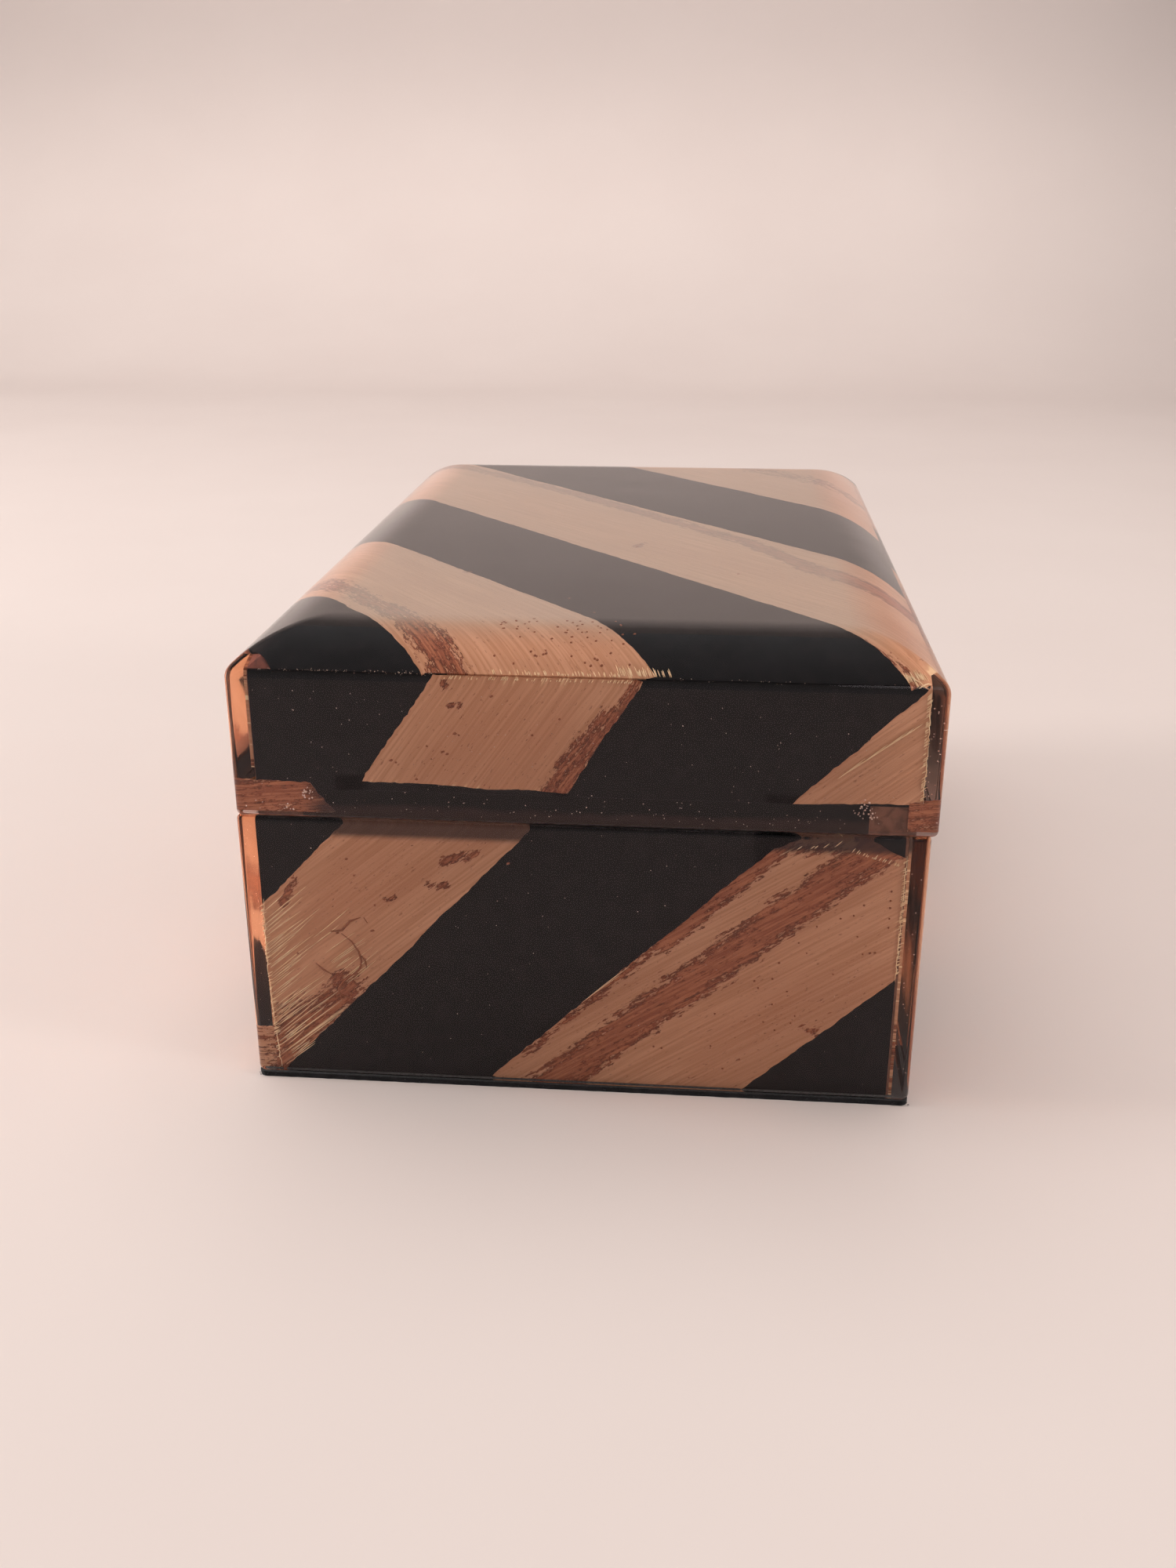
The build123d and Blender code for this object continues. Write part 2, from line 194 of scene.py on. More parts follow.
# Distance of each side's resin face from the middle of the lid, in mm.
face_reach = {
    "base_near_end": base_half_depth, "base_far_end": base_half_depth,
    "base_hinge_side": -base_sides[0], "base_opening_side": base_sides[1],
    "lid_near_end": lid_half[1], "lid_far_end": lid_half[1],
    "lid_hinge_side": lid_half[0], "lid_opening_side": lid_half[0],
}
# Each pair is one cut: its places at the lower and at the upper of its face's heights, in mm. The
# first kind is the strip before the first cut; then bark and black card take turns.
cuts = {
    "lid_near_end": ("black", ((-35.7, -20.4), (-5.4, 8.7), (26.0, 48.7))),
    "lid_far_end": ("bark", ((-28.0, -40.9), (8.0, -4.9), (46.0, 33.1))),
    "lid_hinge_side": ("bark", ((-33.0, -56.6), (-15.0, -38.6), (18.5, -5.1), (60.0, 36.4))),
    "lid_opening_side": ("bark", ((-32.0, -8.4), (4.0, 27.6), (55.0, 78.6))),
    "base_near_end": ("black", ((-77.2, -33.2), (-48.0, -6.3), (-14.9, 31.4), (23.6, 72.0))),
    "base_far_end": ("black", ((-24.0, -66.0), (14.0, -28.0), (50.0, 8.0), (88.0, 46.0))),
    "base_hinge_side": ("bark", ((-57.5, -106.0), (-35.5, -84.5), (-3.0, -52.0), (30.0, -19.0),
                                 (67.5, 18.5), (109.0, 60.0))),
    "base_opening_side": ("bark", ((-68.0, -19.0), (-44.0, 5.0), (-4.0, 45.0), (32.0, 81.0))),
    "lid_top": ("black", ((-22.0, -142.0), (12.3, -117.7), (47.7, -84.0), (87.5, -46.5),
                          (127.5, -10.2))),
}
# How many degrees the fibres are turned from the strip's own edges, strip by strip.
fibre_turns = {
    "lid_near_end": (-1.0, -6.0), "base_near_end": (-6.0, -11.0), "lid_top": (0.0, 1.5, -2.0),
}
# Ends that were trimmed short of the panel's edge: the strip's number and two points, in mm. What
# lies left of the line from the first to the second is gone.
end_trims = {
    "base_near_end": {1: [((24.0, 39.5), (33.0, 43.2)), ((33.0, 42.7), (42.0, 42.9)),
                          ((41.0, 43.0), (52.0, 37.4))]},
    "lid_near_end": {0: [((0.0, 49.4), (-36.0, 50.3))], 1: [((52.0, 49.3), (26.0, 48.8))]},
    "lid_hinge_side": {0: [((-40.0, 51.2), (-75.0, 51.6))]},
    "lid_top": {0: [((-20.2, -78.0), (-31.5, -65.4))]},
}
corner_trims = {"lid_top": {0: [((-43.8, -75.6), (-48.3, -70.8))]}}      # the same for the black strips
# Marks on the bark, each from one point to another, with a half width and a strength: brown stains
# that follow the fibres, cream where the fibres are worn bright, and bold ridges.
marks = {
    "base_near_end": {
        "brown": [((-7.0, -1.5), (20.5, 22.4), 2.9, 1.0), ((20.5, 22.4), (46.0, 44.6), 2.9, 1.0),
                  ((29.6, 42.5), (12.2, 25.4), 1.7, 0.95), ((12.2, 25.4), (0.0, 14.0), 0.9, 0.66),
                  ((0.0, 14.0), (-9.0, 5.0), 0.7, 0.6), ((30.0, 41.5), (42.0, 41.0), 1.3, 0.6),
                  ((-47.5, 3.5), (-42.5, 9.0), 5.0, 0.84), ((-42.5, 9.0), (-36.0, 15.5), 3.2, 0.78),
                  ((-37.5, 15.5), (-36.0, 13.5), 0.9, 0.8), ((33.5, 11.9), (35.6, 11.2), 0.7, 0.7),
                  ((-20.6, 37.3), (-15.8, 38.8), 0.8, 0.72), ((-22.6, 33.2), (-20.2, 33.6), 0.7, 0.72),
                  ((-29.6, 30.8), (-28.0, 31.1), 0.6, 0.7), ((-45.4, 29.6), (-43.2, 33.4), 0.8, 0.7)],
        "cream": [((-48.5, 29.5), (-40.0, 37.5), 0.6, 0.5), ((-48.5, 1.0), (-48.5, 30.0), 0.7, 0.9),
                  ((-48.0, 26.0), (-44.0, 12.0), 6.0, 0.8), ((-47.0, 12.0), (-41.0, 3.0), 5.0, 0.9),
                  ((46.9, 19.0), (46.9, 40.5), 0.7, 0.9), ((28.0, 42.0), (46.0, 41.0), 1.6, 0.7)],
        "ridges": [((-48.0, 28.0), (-42.0, 6.0), 9.0, 1.0), ((-8.0, 2.0), (47.0, 30.0), 22.0, 0.25)],
    },
    "lid_near_end": {
        "brown": [((8.3, 66.2), (4.6, 60.2), 1.0, 0.78), ((4.6, 60.2), (0.6, 55.0), 2.3, 0.8),
                  ((0.8, 56.0), (-3.2, 49.6), 2.7, 0.8), ((-5.5, 49.6), (-2.0, 49.6), 1.0, 0.7),
                  ((-18.9, 61.9), (-17.3, 62.1), 0.6, 0.75), ((-19.6, 65.0), (-18.6, 64.6), 0.5, 0.7)],
        "cream": [((48.3, 49.0), (48.3, 65.5), 0.8, 1.0), ((-32.0, 49.6), (-2.0, 49.2), 0.6, 0.5),
                  ((-20.0, 65.8), (8.0, 65.8), 0.6, 0.5)],
        "ridges": [((34.0, 49.0), (48.0, 62.0), 9.0, 1.0), ((-10.0, 52.0), (2.0, 62.0), 6.0, 0.6)],
    },
    "lid_top": {
        "brown": [((-46.5, -38.5), (-36.0, -53.5), 2.6, 0.66), ((-36.0, -53.5), (-26.5, -65.5), 2.5, 0.76),
                  ((-26.5, -65.5), (-17.6, -76.5), 2.6, 0.84),
                  ((-46.0, 72.5), (-12.5, 35.5), 1.9, 0.8), ((-12.5, 35.5), (24.0, -10.0), 2.0, 0.85),
                  ((24.0, -10.0), (34.0, -29.0), 2.2, 0.9), ((34.0, -29.0), (48.3, -46.0), 2.6, 1.0),
                  ((-22.0, -36.3), (-21.6, -36.3), 0.9, 0.9),
                  ((4.1, -15.5), (5.3, -12.3), 0.7, 0.8), ((20.0, 74.0), (48.0, 44.0), 4.0, 0.55),
                  ((38.0, -68.0), (46.5, -76.0), 0.9, 0.6)],
        "cream": [((-14.0, -75.8), (5.0, -75.8), 0.4, 0.6), ((5.0, -75.4), (12.0, -75.4), 0.9, 0.9),
                  ((46.0, -75.5), (48.5, -72.0), 1.0, 0.6)],
        "ridges": [((-20.0, -75.0), (10.0, -75.0), 2.5, 0.7), ((44.0, -76.0), (48.0, -60.0), 6.0, 0.5)],
    },
    # The side that opens has sap stains near its front corner, over most of a strip's width.
    "lid_opening_side": {
        "brown": [((-62.0, 48.0), (-34.0, 64.0), 13.0, 0.8), ((12.0, 50.0), (26.0, 66.0), 2.2, 0.9)],
        "cream": [((-75.0, 49.0), (-75.0, 66.0), 0.9, 0.9), ((75.0, 49.0), (75.0, 66.0), 0.9, 0.9)],
        "ridges": [((20.0, 49.0), (30.0, 66.0), 12.0, 0.5)],
    },
    "base_opening_side": {
        "brown": [((-66.0, 4.0), (-28.0, 42.0), 13.0, 0.8), ((-46.0, 0.0), (-28.0, 16.0), 8.0, 0.8),
                  ((5.0, 1.0), (30.0, 26.0), 2.4, 0.9),
                  ((50.0, 3.0), (70.0, 23.0), 1.6, 0.8)],
        "cream": [((-74.5, 1.0), (-74.5, 43.0), 0.9, 0.9), ((74.5, 1.0), (74.5, 43.0), 0.9, 0.9)],
        "ridges": [((10.0, 1.0), (40.0, 40.0), 14.0, 0.5)],
    },
}


def start_panel(name, low, high, spacing):
    """A fine flat grid as large as one face of the box, from its low to its high corner in mm."""
    bpy.ops.object.select_all(action="DESELECT")
    across = high[0] - low[0]
    along = high[1] - low[1]
    bpy.ops.mesh.primitive_grid_add(
        x_subdivisions=round(across / spacing), y_subdivisions=round(along / spacing), size=1,
        location=((low[0] + high[0]) / 2 * MM, (low[1] + high[1]) / 2 * MM, 0))
    panel = bpy.context.object
    panel.name = name
    panel.scale = (across * MM, along * MM, 1)
    bpy.ops.object.transform_apply(location=True, rotation=False, scale=True)
    return panel


def trim(start, end, raggedness):
    """In edit mode, cuts a panel from start to end, in mm, clears what lies left of that line and
    lets the new edge wander outwards, as scissors and loose fibres leave it."""
    along = Vector((end[0] - start[0], end[1] - start[1], 0)).normalized()
    outward = Vector((-along.y, along.x, 0))
    bpy.ops.mesh.select_all(action="SELECT")
    bpy.ops.mesh.bisect(plane_co=(start[0] * MM, start[1] * MM, 0), plane_no=outward,
                        clear_outer=True)
    mesh = bmesh.from_edit_mesh(bpy.context.object.data)
    for point in mesh.verts:
        if point.select:
            slow = noise.noise(point.co / (9 * MM))
            fine = noise.noise(point.co / (1.1 * MM))
            point.co += outward * raggedness * MM * max(0.0, 0.5 + 0.6 * slow + 0.4 * fine)
    bmesh.update_edit_mesh(bpy.context.object.data)


def trim_piece(piece, lines, raggedness):
    """Trims a flat piece along each of the lines, from their start to their end."""
    select_only(piece)
    bpy.ops.object.mode_set(mode="EDIT")
    for start, end in lines:
        trim(start, end, raggedness)
    bpy.ops.object.mode_set(mode="OBJECT")


def strip_edges(face, kind):
    """The strips of one kind on a face: for each, its left and right cut, or None at an end."""
    first, places = cuts[face]
    fence = [None] + list(places) + [None]
    kinds = ("bark", "black") if first == "bark" else ("black", "bark")
    return [pair for number, pair in enumerate(zip(fence, fence[1:])) if kinds[number % 2] == kind]


def cut_strip(face, left, right, spacing, tuck, raggedness):
    """One strip of a face's panel, still lying flat, or None if it misses the panel."""
    panel = start_panel(face + "_strip", faces[face]["low"], faces[face]["high"], spacing)
    lower, upper = faces[face]["level"]
    lines = []
    if left:
        lines.append(((left[0] - tuck, lower), (left[1] - tuck, upper)))
    if right:
        lines.append(((right[1] + tuck, upper), (right[0] + tuck, lower)))
    trim_piece(panel, lines, raggedness)
    if panel.data.polygons:
        return panel
    bpy.data.objects.remove(panel)
    return None


def mark_points(panel, name, listed):
    """Stores how strongly the marks cover each point of a flat panel; a mark fades to its edge."""
    layer = panel.data.attributes.new(name, "FLOAT", "POINT")
    for point, cover in zip(panel.data.vertices, layer.data):
        here = point.co.xy / MM
        for start, end, half_width, strength in listed:
            run = Vector(end) - Vector(start)
            share = min(1.0, max(0.0, (here - Vector(start)).dot(run) / run.length_squared))
            away = (here - Vector(start) - run * share).length / half_width
            cover.value = max(cover.value, strength * max(0.0, 1.0 - away ** 2 / 2.0))


def lay_fibres(panel, angle, offset):
    """Unwraps a flat strip, in mm, with the fibres' direction upwards."""
    if "fibre" not in panel.data.uv_layers:
        panel.data.uv_layers.new(name="fibre")
    for other in [each for each in panel.data.uv_layers if each.name != "fibre"]:
        panel.data.uv_layers.remove(other)
    layer = panel.data.uv_layers["fibre"]
    for corner, uv in zip(panel.data.loops, layer.data):
        place = panel.data.vertices[corner.vertex_index].co / MM
        across = place.x * math.sin(angle) - place.y * math.cos(angle)
        along = place.x * math.cos(angle) + place.y * math.sin(angle)
        uv.uv = (across + offset, along + offset * 3)


def over_slope(x, y):
    """How far a place lies outside the flat of the lid's top, in mm."""
    over_side = max(0.0, abs(x) - (lid_half[0] - slope_run))
    over_end = max(0.0, abs(y) - (lid_half[1] - slope_run))
    return (over_side ** squareness + over_end ** squareness) ** (1 / squareness)


def pillow_height(x, y, drop):
    """Height in mm of the lid's pillow form, lowered by a drop along its own normal."""
    over = min(over_slope(x, y), slope_end)
    return slope_centre_z + math.sqrt((slope_radius - drop) ** 2 - over ** 2)


def place_face(piece, face, below_bark=0.0):
    """Stands a flat piece up at its place on the box, or drapes it over the lid's top, so far below
    the bark's own face."""
    depth = (bark_drop if face == "lid_top" else bark_depth) + below_bark
    if face == "lid_top":
        for point in piece.data.vertices:
            point.co.z += pillow_height(point.co.x / MM, point.co.y / MM, depth) * MM
        return
    long_side = face.endswith("_side")
    away = (face_reach[face] - depth) * MM
    if face.endswith(("near_end", "hinge_side")):
        away = -away
    piece.rotation_euler = (math.pi / 2, 0, math.pi / 2 if long_side else 0)
    piece.location = (away, 0, 0) if long_side else (0, away, 0)
    select_only(piece)
    bpy.ops.object.transform_apply(location=True, rotation=True, scale=True)
    # Two of the four faces now look inwards, and are turned round.
    if face.endswith(("far_end", "hinge_side")):
        bpy.ops.object.mode_set(mode="EDIT")
        bpy.ops.mesh.select_all(action="SELECT")
        bpy.ops.mesh.flip_normals()
        bpy.ops.object.mode_set(mode="OBJECT")


def select_only(*pieces):
    """Selects these pieces and nothing else; the first one is the active one."""
    bpy.ops.object.select_all(action="DESELECT")
    for piece in pieces:
        piece.select_set(True)
    bpy.context.view_layer.objects.active = pieces[0]


def join_pieces(pieces, name):
    """Joins the pieces into the first of them, under a new name."""
    select_only(*pieces)
    if len(pieces) > 1:
        bpy.ops.object.join()
    pieces[0].name = name
    return pieces[0]


def thicken(piece, thickness):
    """Gives a sheet its thickness, inwards from the face that shows."""
    solid = piece.modifiers.new("thickness", "SOLIDIFY")
    solid.thickness = thickness * MM
    solid.offset = -1
    select_only(piece)
    bpy.ops.object.modifier_apply(modifier=solid.name)


def subtract(piece, tool):
    """Cuts a closed tool's shape out of a piece."""
    cut = piece.modifiers.new("cut", "BOOLEAN")
    cut.object = tool
    cut.operation = "DIFFERENCE"
    cut.solver = "EXACT"
    select_only(piece)
    bpy.ops.object.modifier_apply(modifier=cut.name)


# Room for the hinges' leaves and knuckles; everything on the hinge side is cut with it.
axis_x = base_sides[0] + 0.6
leaf_room = (9.75, 25.2, 2.3)   # across, along and up, for two leaves that lie on each other
leaf_room_x = axis_x + 3.025    # the middle of that room
knuckle_room_radius = 1.85
knuckle_room_length = 26.3
hinge_places = (-45.0, 45.0)
hinge_tools = []
for hinge_y in hinge_places:
    bpy.ops.mesh.primitive_cube_add(size=1, location=(leaf_room_x * MM, hinge_y * MM, seam_z * MM))
    bpy.context.object.scale = [size * MM for size in leaf_room]
    bpy.ops.object.transform_apply(location=True, rotation=False, scale=True)
    hinge_tools.append(bpy.context.object)
    bpy.ops.mesh.primitive_cylinder_add(
        vertices=48, radius=knuckle_room_radius * MM, depth=knuckle_room_length * MM,
        rotation=(math.pi / 2, 0, 0), location=(axis_x * MM, hinge_y * MM, seam_z * MM))
    bpy.ops.object.transform_apply(location=True, rotation=True, scale=True)
    hinge_tools.append(bpy.context.object)
leaf_tools = hinge_tools[::2]   # the strips are cut for the leaves only

# Banana bark: a satin tan sheet of parallel fibres 0.4 mm apart in bundles of 1.6 mm, with brown
# sap stains that spread along the fibres, fibres worn to bright threads, and small dark specks.
bark = new_material("dried_banana_bark_under_resin")
fibre = add_node(bark, "UVMap", uv_map="fibre")
# Patterns drawn out along the fibres: scales across and along them per mm, detail, roughness.
bark_patterns = {
    "fibres": ((2.5, 0.05), 2.0, 0.5), "bundles": ((0.62, 0.02), 2.0, 0.5),
    "clouds": ((0.11, 0.03), 3.0, 0.5), "stain_streaks": ((1.3, 0.16), 5.0, 0.72),
    "stain_threads": ((2.9, 0.11), 3.0, 0.6), "worn_threads": ((2.1, 0.04), 2.0, 0.5),
    "specks": ((2.6, 1.3), 3.0, 0.5), "ragged_line": ((1.9, 0.75), 5.0, 0.75),
    "ticks": ((3.1, 0.8), 2.0, 0.5),
}
pattern = {}
for name, (scale, detail, roughness) in bark_patterns.items():
    drawn_out = add_node(bark, "Mapping", {"Vector": fibre, "Scale": (*scale, 1)})
    pattern[name] = add_node(bark, "TexNoise", {"Vector": drawn_out, "Scale": 1.0, "Detail": detail,
                                                "Roughness": roughness})
drawn = {name: add_node(bark, "Attribute", attribute_name=name).outputs["Fac"]
         for name in ("brown", "cream", "ridges", "pale", "rim")}
# A stain breaks up along the fibres; it is darkest just inside its edge and streaky within.
streak_lift = add_node(bark, "MapRange",
                       {"Value": pattern["stain_streaks"], "To Min": -1.0, "To Max": 1.0})
ragged_lift = add_node(bark, "MapRange",
                       {"Value": pattern["ragged_line"], "To Min": -0.9, "To Max": 0.9})
streaked = add_node(bark, "Math", {0: drawn["brown"], 1: streak_lift}, operation="ADD")
stain = add_node(bark, "Math", {0: streaked, 1: ragged_lift}, operation="ADD")
stain_tone = add_node(bark, "MapRange",
                      {"Value": pattern["stain_threads"], "From Min": 0.38, "From Max": 0.64},
                      interpolation_type="SMOOTHSTEP")
stain_edge = add_node(bark, "Mix", {FACTOR: stain_tone, UNDER: "#50200f", OVER: "#7d3b25"},
                      data_type="RGBA")
stain_inside = add_node(bark, "Mix", {FACTOR: stain_tone, UNDER: "#8a4a32", OVER: "#ae6a49"},
                        data_type="RGBA")
stain_in = add_node(bark, "MapRange", {"Value": stain, "From Min": 0.66, "From Max": 0.86},
                    interpolation_type="SMOOTHSTEP")
stain_colour = add_node(bark, "Mix", {FACTOR: stain_in, UNDER: stain_edge, OVER: stain_inside},
                        data_type="RGBA")
# Threads worn bright lie singly everywhere, and close together where the bark was handled. Specks
# are 0.2 to 0.6 mm across, in loose groups.
worn = add_node(bark, "MapRange", {"Value": pattern["worn_threads"], "From Min": 0.57, "From Max": 0.7},
                interpolation_type="SMOOTHSTEP")
worn_share = add_node(bark, "Math", {0: drawn["cream"], 1: 1.0, 2: 0.08}, operation="MULTIPLY_ADD")
bright = add_node(bark, "Math", {0: worn, 1: worn_share}, operation="MULTIPLY", use_clamp=True)
grouped = add_node(bark, "Math", {0: pattern["clouds"], 1: 0.3, 2: pattern["specks"]},
                   operation="MULTIPLY_ADD")
# Each colour is laid over those before it: what brings it in, over what range, and how much of it.
bark_colour = "#b57f5e"
# The pale colour is a painted reflection on the lid's flat top. The rim colour is painted shade under the
# lid's lip on the base's strips, and on the scraps it darkens them where they turn dark.
for cause, low, high, most, over in (
        (pattern["fibres"], 0.32, 0.68, 1.0, "#cc9676"), (pattern["bundles"], 0.35, 0.7, 0.3, "#b88260"),
        (pattern["clouds"], 0.38, 0.68, 0.45, "#ae7556"), (pattern["ticks"], 0.65, 0.7, 0.6, "#85543d"),
        (stain, 0.46, 0.56, 0.95, stain_colour), (bright, 0.0, 1.0, 1.0, "#f0cfa5"),
        (grouped, 0.84, 0.92, 0.85, "#6b3e2b"), (drawn["pale"], 0.0, 1.0, 1.0, "#b3a998"),
        (drawn["rim"], 0.0, 1.0, 0.88, "#2b1a19")):
    share = add_node(bark, "MapRange",
                     {"Value": cause, "From Min": low, "From Max": high, "To Max": most},
                     interpolation_type="SMOOTHSTEP")
    bark_colour = add_node(bark, "Mix", {FACTOR: share, UNDER: bark_colour, OVER: over},
                           data_type="RGBA")
ridge_height = add_node(bark, "MapRange", {"Value": drawn["ridges"], "To Min": 0.5, "To Max": 1.6})
relief_height = add_node(bark, "Math", {0: pattern["fibres"], 1: ridge_height}, operation="MULTIPLY")
relief = add_node(bark, "Bump", {"Height": relief_height, "Strength": 1.0, "Distance": 0.09 * MM})
surface = add_node(bark, "BsdfPrincipled",
                   {"Base Color": bark_colour, "Normal": relief, "Roughness": 0.5,
                    "Specular IOR Level": 0.25})
add_node(bark, "OutputMaterial", {"Surface": surface})

wander = random.Random(7)
panel_spacing = {"base_near_end": 0.55, "lid_near_end": 0.5, "lid_top": 0.85}    # and 1 elsewhere
half_strip = 12.0               # half the usual width of a strip
reflection_run = 7.0                  # how far outside the lid's flat the bark's painted reflection ends
painted_shade_start = 40.3               # height from which painted shade, the shadow of the lid's lip, darkens the base's strips
painted_shade_run = 1.3                  # and over how much more it becomes full
for face in faces:
    body = face.split("_")[0]
    lower, upper = faces[face]["level"]
    strips = []
    for left, right in strip_edges(face, "bark"):
        strip = cut_strip(face, left, right, panel_spacing.get(face, 1.0), 0.0, bark_raggedness)
        if strip is None:
            continue
        edge = left or right
        angle = math.atan2(upper - lower, edge[1] - edge[0])
        turns = fibre_turns.get(face, ())
        kept = len(strips)
        turn = turns[kept] if kept < len(turns) else wander.uniform(-4, 4)
        trim_piece(strip, end_trims.get(face, {}).get(kept, []), bark_raggedness)
        lay_fibres(strip, angle + math.radians(turn), wander.uniform(0, 400))
        listed = marks.get(face)
        # A face with no marks of its own gets one stain along each strip, five spots, worn ends and
        # one bold ridge.
        if listed is None:
            low, high = faces[face]["low"], faces[face]["high"]
            listed = {"brown": [], "cream": [], "ridges": []}
            middle = (edge[0] + edge[1]) / 2 + (half_strip if left else -half_strip)
            shift = wander.uniform(-6, 6)
            lean = (edge[1] - edge[0]) / 2
            listed["brown"].append(((middle + shift - lean, low[1]), (middle + shift + lean, high[1]),
                                    wander.uniform(1.5, 3.2), 0.85))
            for _ in range(5):
                spot = (wander.uniform(low[0], high[0]), wander.uniform(low[1], high[1]))
                listed["brown"].append((spot, (spot[0] + 1.5, spot[1] + 1.0), 1.3, 0.8))
            for end in (low[0], high[0]):
                listed["cream"].append(((end, low[1]), (end, high[1]), 1.0, 0.9))
            listed["ridges"].append(((middle, low[1]), (middle, high[1]), 14.0, 0.5))
        for name in ("brown", "cream", "ridges"):
            mark_points(strip, name, listed[name])
        # On the flat of the lid the bark is painted paler: a painted reflection of the bright room in the
        # resin's top.
        # At the seam, the ends of the base's strips are darkened with painted shade, the shadow that the
        # lid's lip casts on them.
        painted_reflection = strip.data.attributes.new("pale", "FLOAT", "POINT")
        darkening = strip.data.attributes.new("rim", "FLOAT", "POINT")
        for point, reflection_here, darkening_here in zip(strip.data.vertices, painted_reflection.data, darkening.data):
            x, y = point.co.x / MM, point.co.y / MM
            if face == "lid_top":
                reflection_here.value = 0.5 * max(0.0, 1.0 - over_slope(x, y) / reflection_run)
            elif body == "base":
                darkening_here.value = min(1.0, max(0.0, (y - painted_shade_start) / painted_shade_run))
        strips.append(strip)
    piece = join_pieces(strips, face + "_bark")
    place_face(piece, face)
    thicken(piece, bark_thickness)
    if face == "base_hinge_side":
        for tool in leaf_tools:
            subtract(piece, tool)
    bpy.ops.object.shade_smooth_by_angle(angle=strip_smoothing)
    wear(piece, bark)
    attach(piece, body)
    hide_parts(face + "_bark_strips")


# ---- Loose fibres, trails and scraps -------------------------------------------------------------
# Fibres that frayed from the bark's cut edges or were rubbed up to bright threads, set in the resin
# just over the strips, the thin brown trails and specks that insects left, and scraps of bark.
def draw_strands(name, strands, thickness):
    """Thin threads as one mesh; each is a list of places in mm: across the face, up it, out of it."""
    line = bpy.data.curves.new(name, "CURVE")
    line.dimensions = "3D"
    line.bevel_depth = thickness / 2 * MM
    line.bevel_resolution = 0
    line.use_fill_caps = True
    for places in strands:
        thread = line.splines.new("POLY")
        thread.points.add(len(places) - 1)
        for number, (point, place) in enumerate(zip(thread.points, places)):
            point.co = (place[0] * MM, place[1] * MM, place[2] * MM, 1)
            point.radius = 1.0 - 0.7 * abs(2 * number / (len(places) - 1) - 1) ** 3
    piece = bpy.data.objects.new(name, line)
    bpy.context.scene.collection.objects.link(piece)
    select_only(piece)
    bpy.ops.object.convert(target="MESH")
    return bpy.context.object


def loose_threads(spots, count, angle, lengths, out):
    """Threads that start near the line between two spots and run at an angle, in degrees."""
    threads = []
    for _ in range(count):
        share = fray.random()
        start = [a + (b - a) * share for a, b in zip(*spots)]
        heading = math.radians(angle + fray.uniform(-1.2, 1.2))
        length = fray.uniform(*lengths)
        bend = fray.uniform(-0.05, 0.05)
        threads.append([(start[0] + math.cos(heading + bend * step / 3) * length * step / 3,
                         start[1] + math.sin(heading + bend * step / 3) * length * step / 3,
                         out * fray.uniform(0.6, 1.2)) for step in range(4)])
    return threads


def two_toned(name, pattern, colours, finish, spread=None):
    """A material that goes from one colour to another with a noise pattern, over all of the noise's
    values or over a spread of them."""
    material = new_material(name)
    place = add_node(material, "TexCoord")
    share = add_node(material, "TexNoise", {"Vector": place.outputs["Object"], **pattern})
    if spread:
        share = add_node(material, "MapRange",
                         {"Value": share, "From Min": spread[0], "From Max": spread[1]})
    colour = add_node(material, "Mix", {FACTOR: share, UNDER: colours[0], OVER: colours[1]},
                      data_type="RGBA")
    surface = add_node(material, "BsdfPrincipled", {"Base Color": colour, **finish})
    add_node(material, "OutputMaterial", {"Surface": surface})
    return material


# Rubbed fibres are glossier than the sheet, gold to cream, and change about every millimetre.
thread_bark = two_toned("banana_fibre_rubbed_bright", {"Scale": 900.0, "Detail": 3.0},
                        ("#d9a878", "#fbe3bf"), {"Roughness": 0.35, "Specular IOR Level": 0.4})
thread_thickness = 0.13
fray = random.Random(23)
# For each face: the line where threads start, how many, their angle, their lengths, how far out.
frayed = {
    "base_near_end": [
        (((-48.4, 28.5), (-47.6, 5.0)), 46, 41, (3.0, 12.0), 0.05),
        (((-47.5, 10.0), (-45.5, 2.5)), 16, 41, (1.5, 5.0), 0.08),
        (((-41.0, 24.0), (-36.0, 16.0)), 14, 40, (3.0, 8.0), 0.06),
        (((-48.9, 29.6), (-48.2, 2.0)), 70, 30, (0.5, 1.3), 0.08),
        (((46.3, 39.8), (46.5, 21.0)), 80, 28, (0.4, 1.0), 0.08),
        (((31.0, 41.2), (37.0, 41.9)), 6, 40, (0.6, 1.6), 0.06),
        (((38.5, 41.2), (45.8, 39.0)), 22, 56, (0.3, 0.9), 0.05),
        (((-3.0, 11.8), (8.0, 22.6)), 3, 43, (5.0, 8.0), 0.1),
    ],
    "lid_near_end": [
        (((47.6, 65.2), (47.8, 49.5)), 64, 38, (0.4, 1.0), 0.08),
        (((36.0, 52.5), (46.0, 60.0)), 22, 40, (2.0, 5.0), 0.07),
        (((-20.0, 65.5), (7.0, 65.5)), 60, 52, (0.2, 0.6), 0.05),
    ],
    "lid_top": [
        (((-13.0, -75.5), (6.0, -75.5)), 50, 122, (0.2, 0.7), 0.04),
        (((5.0, -75.4), (12.6, -75.4)), 34, 116, (0.5, 1.6), 0.07),
        (((45.0, -75.4), (48.0, -74.6)), 26, 120, (0.5, 1.6), 0.12),
    ],
}
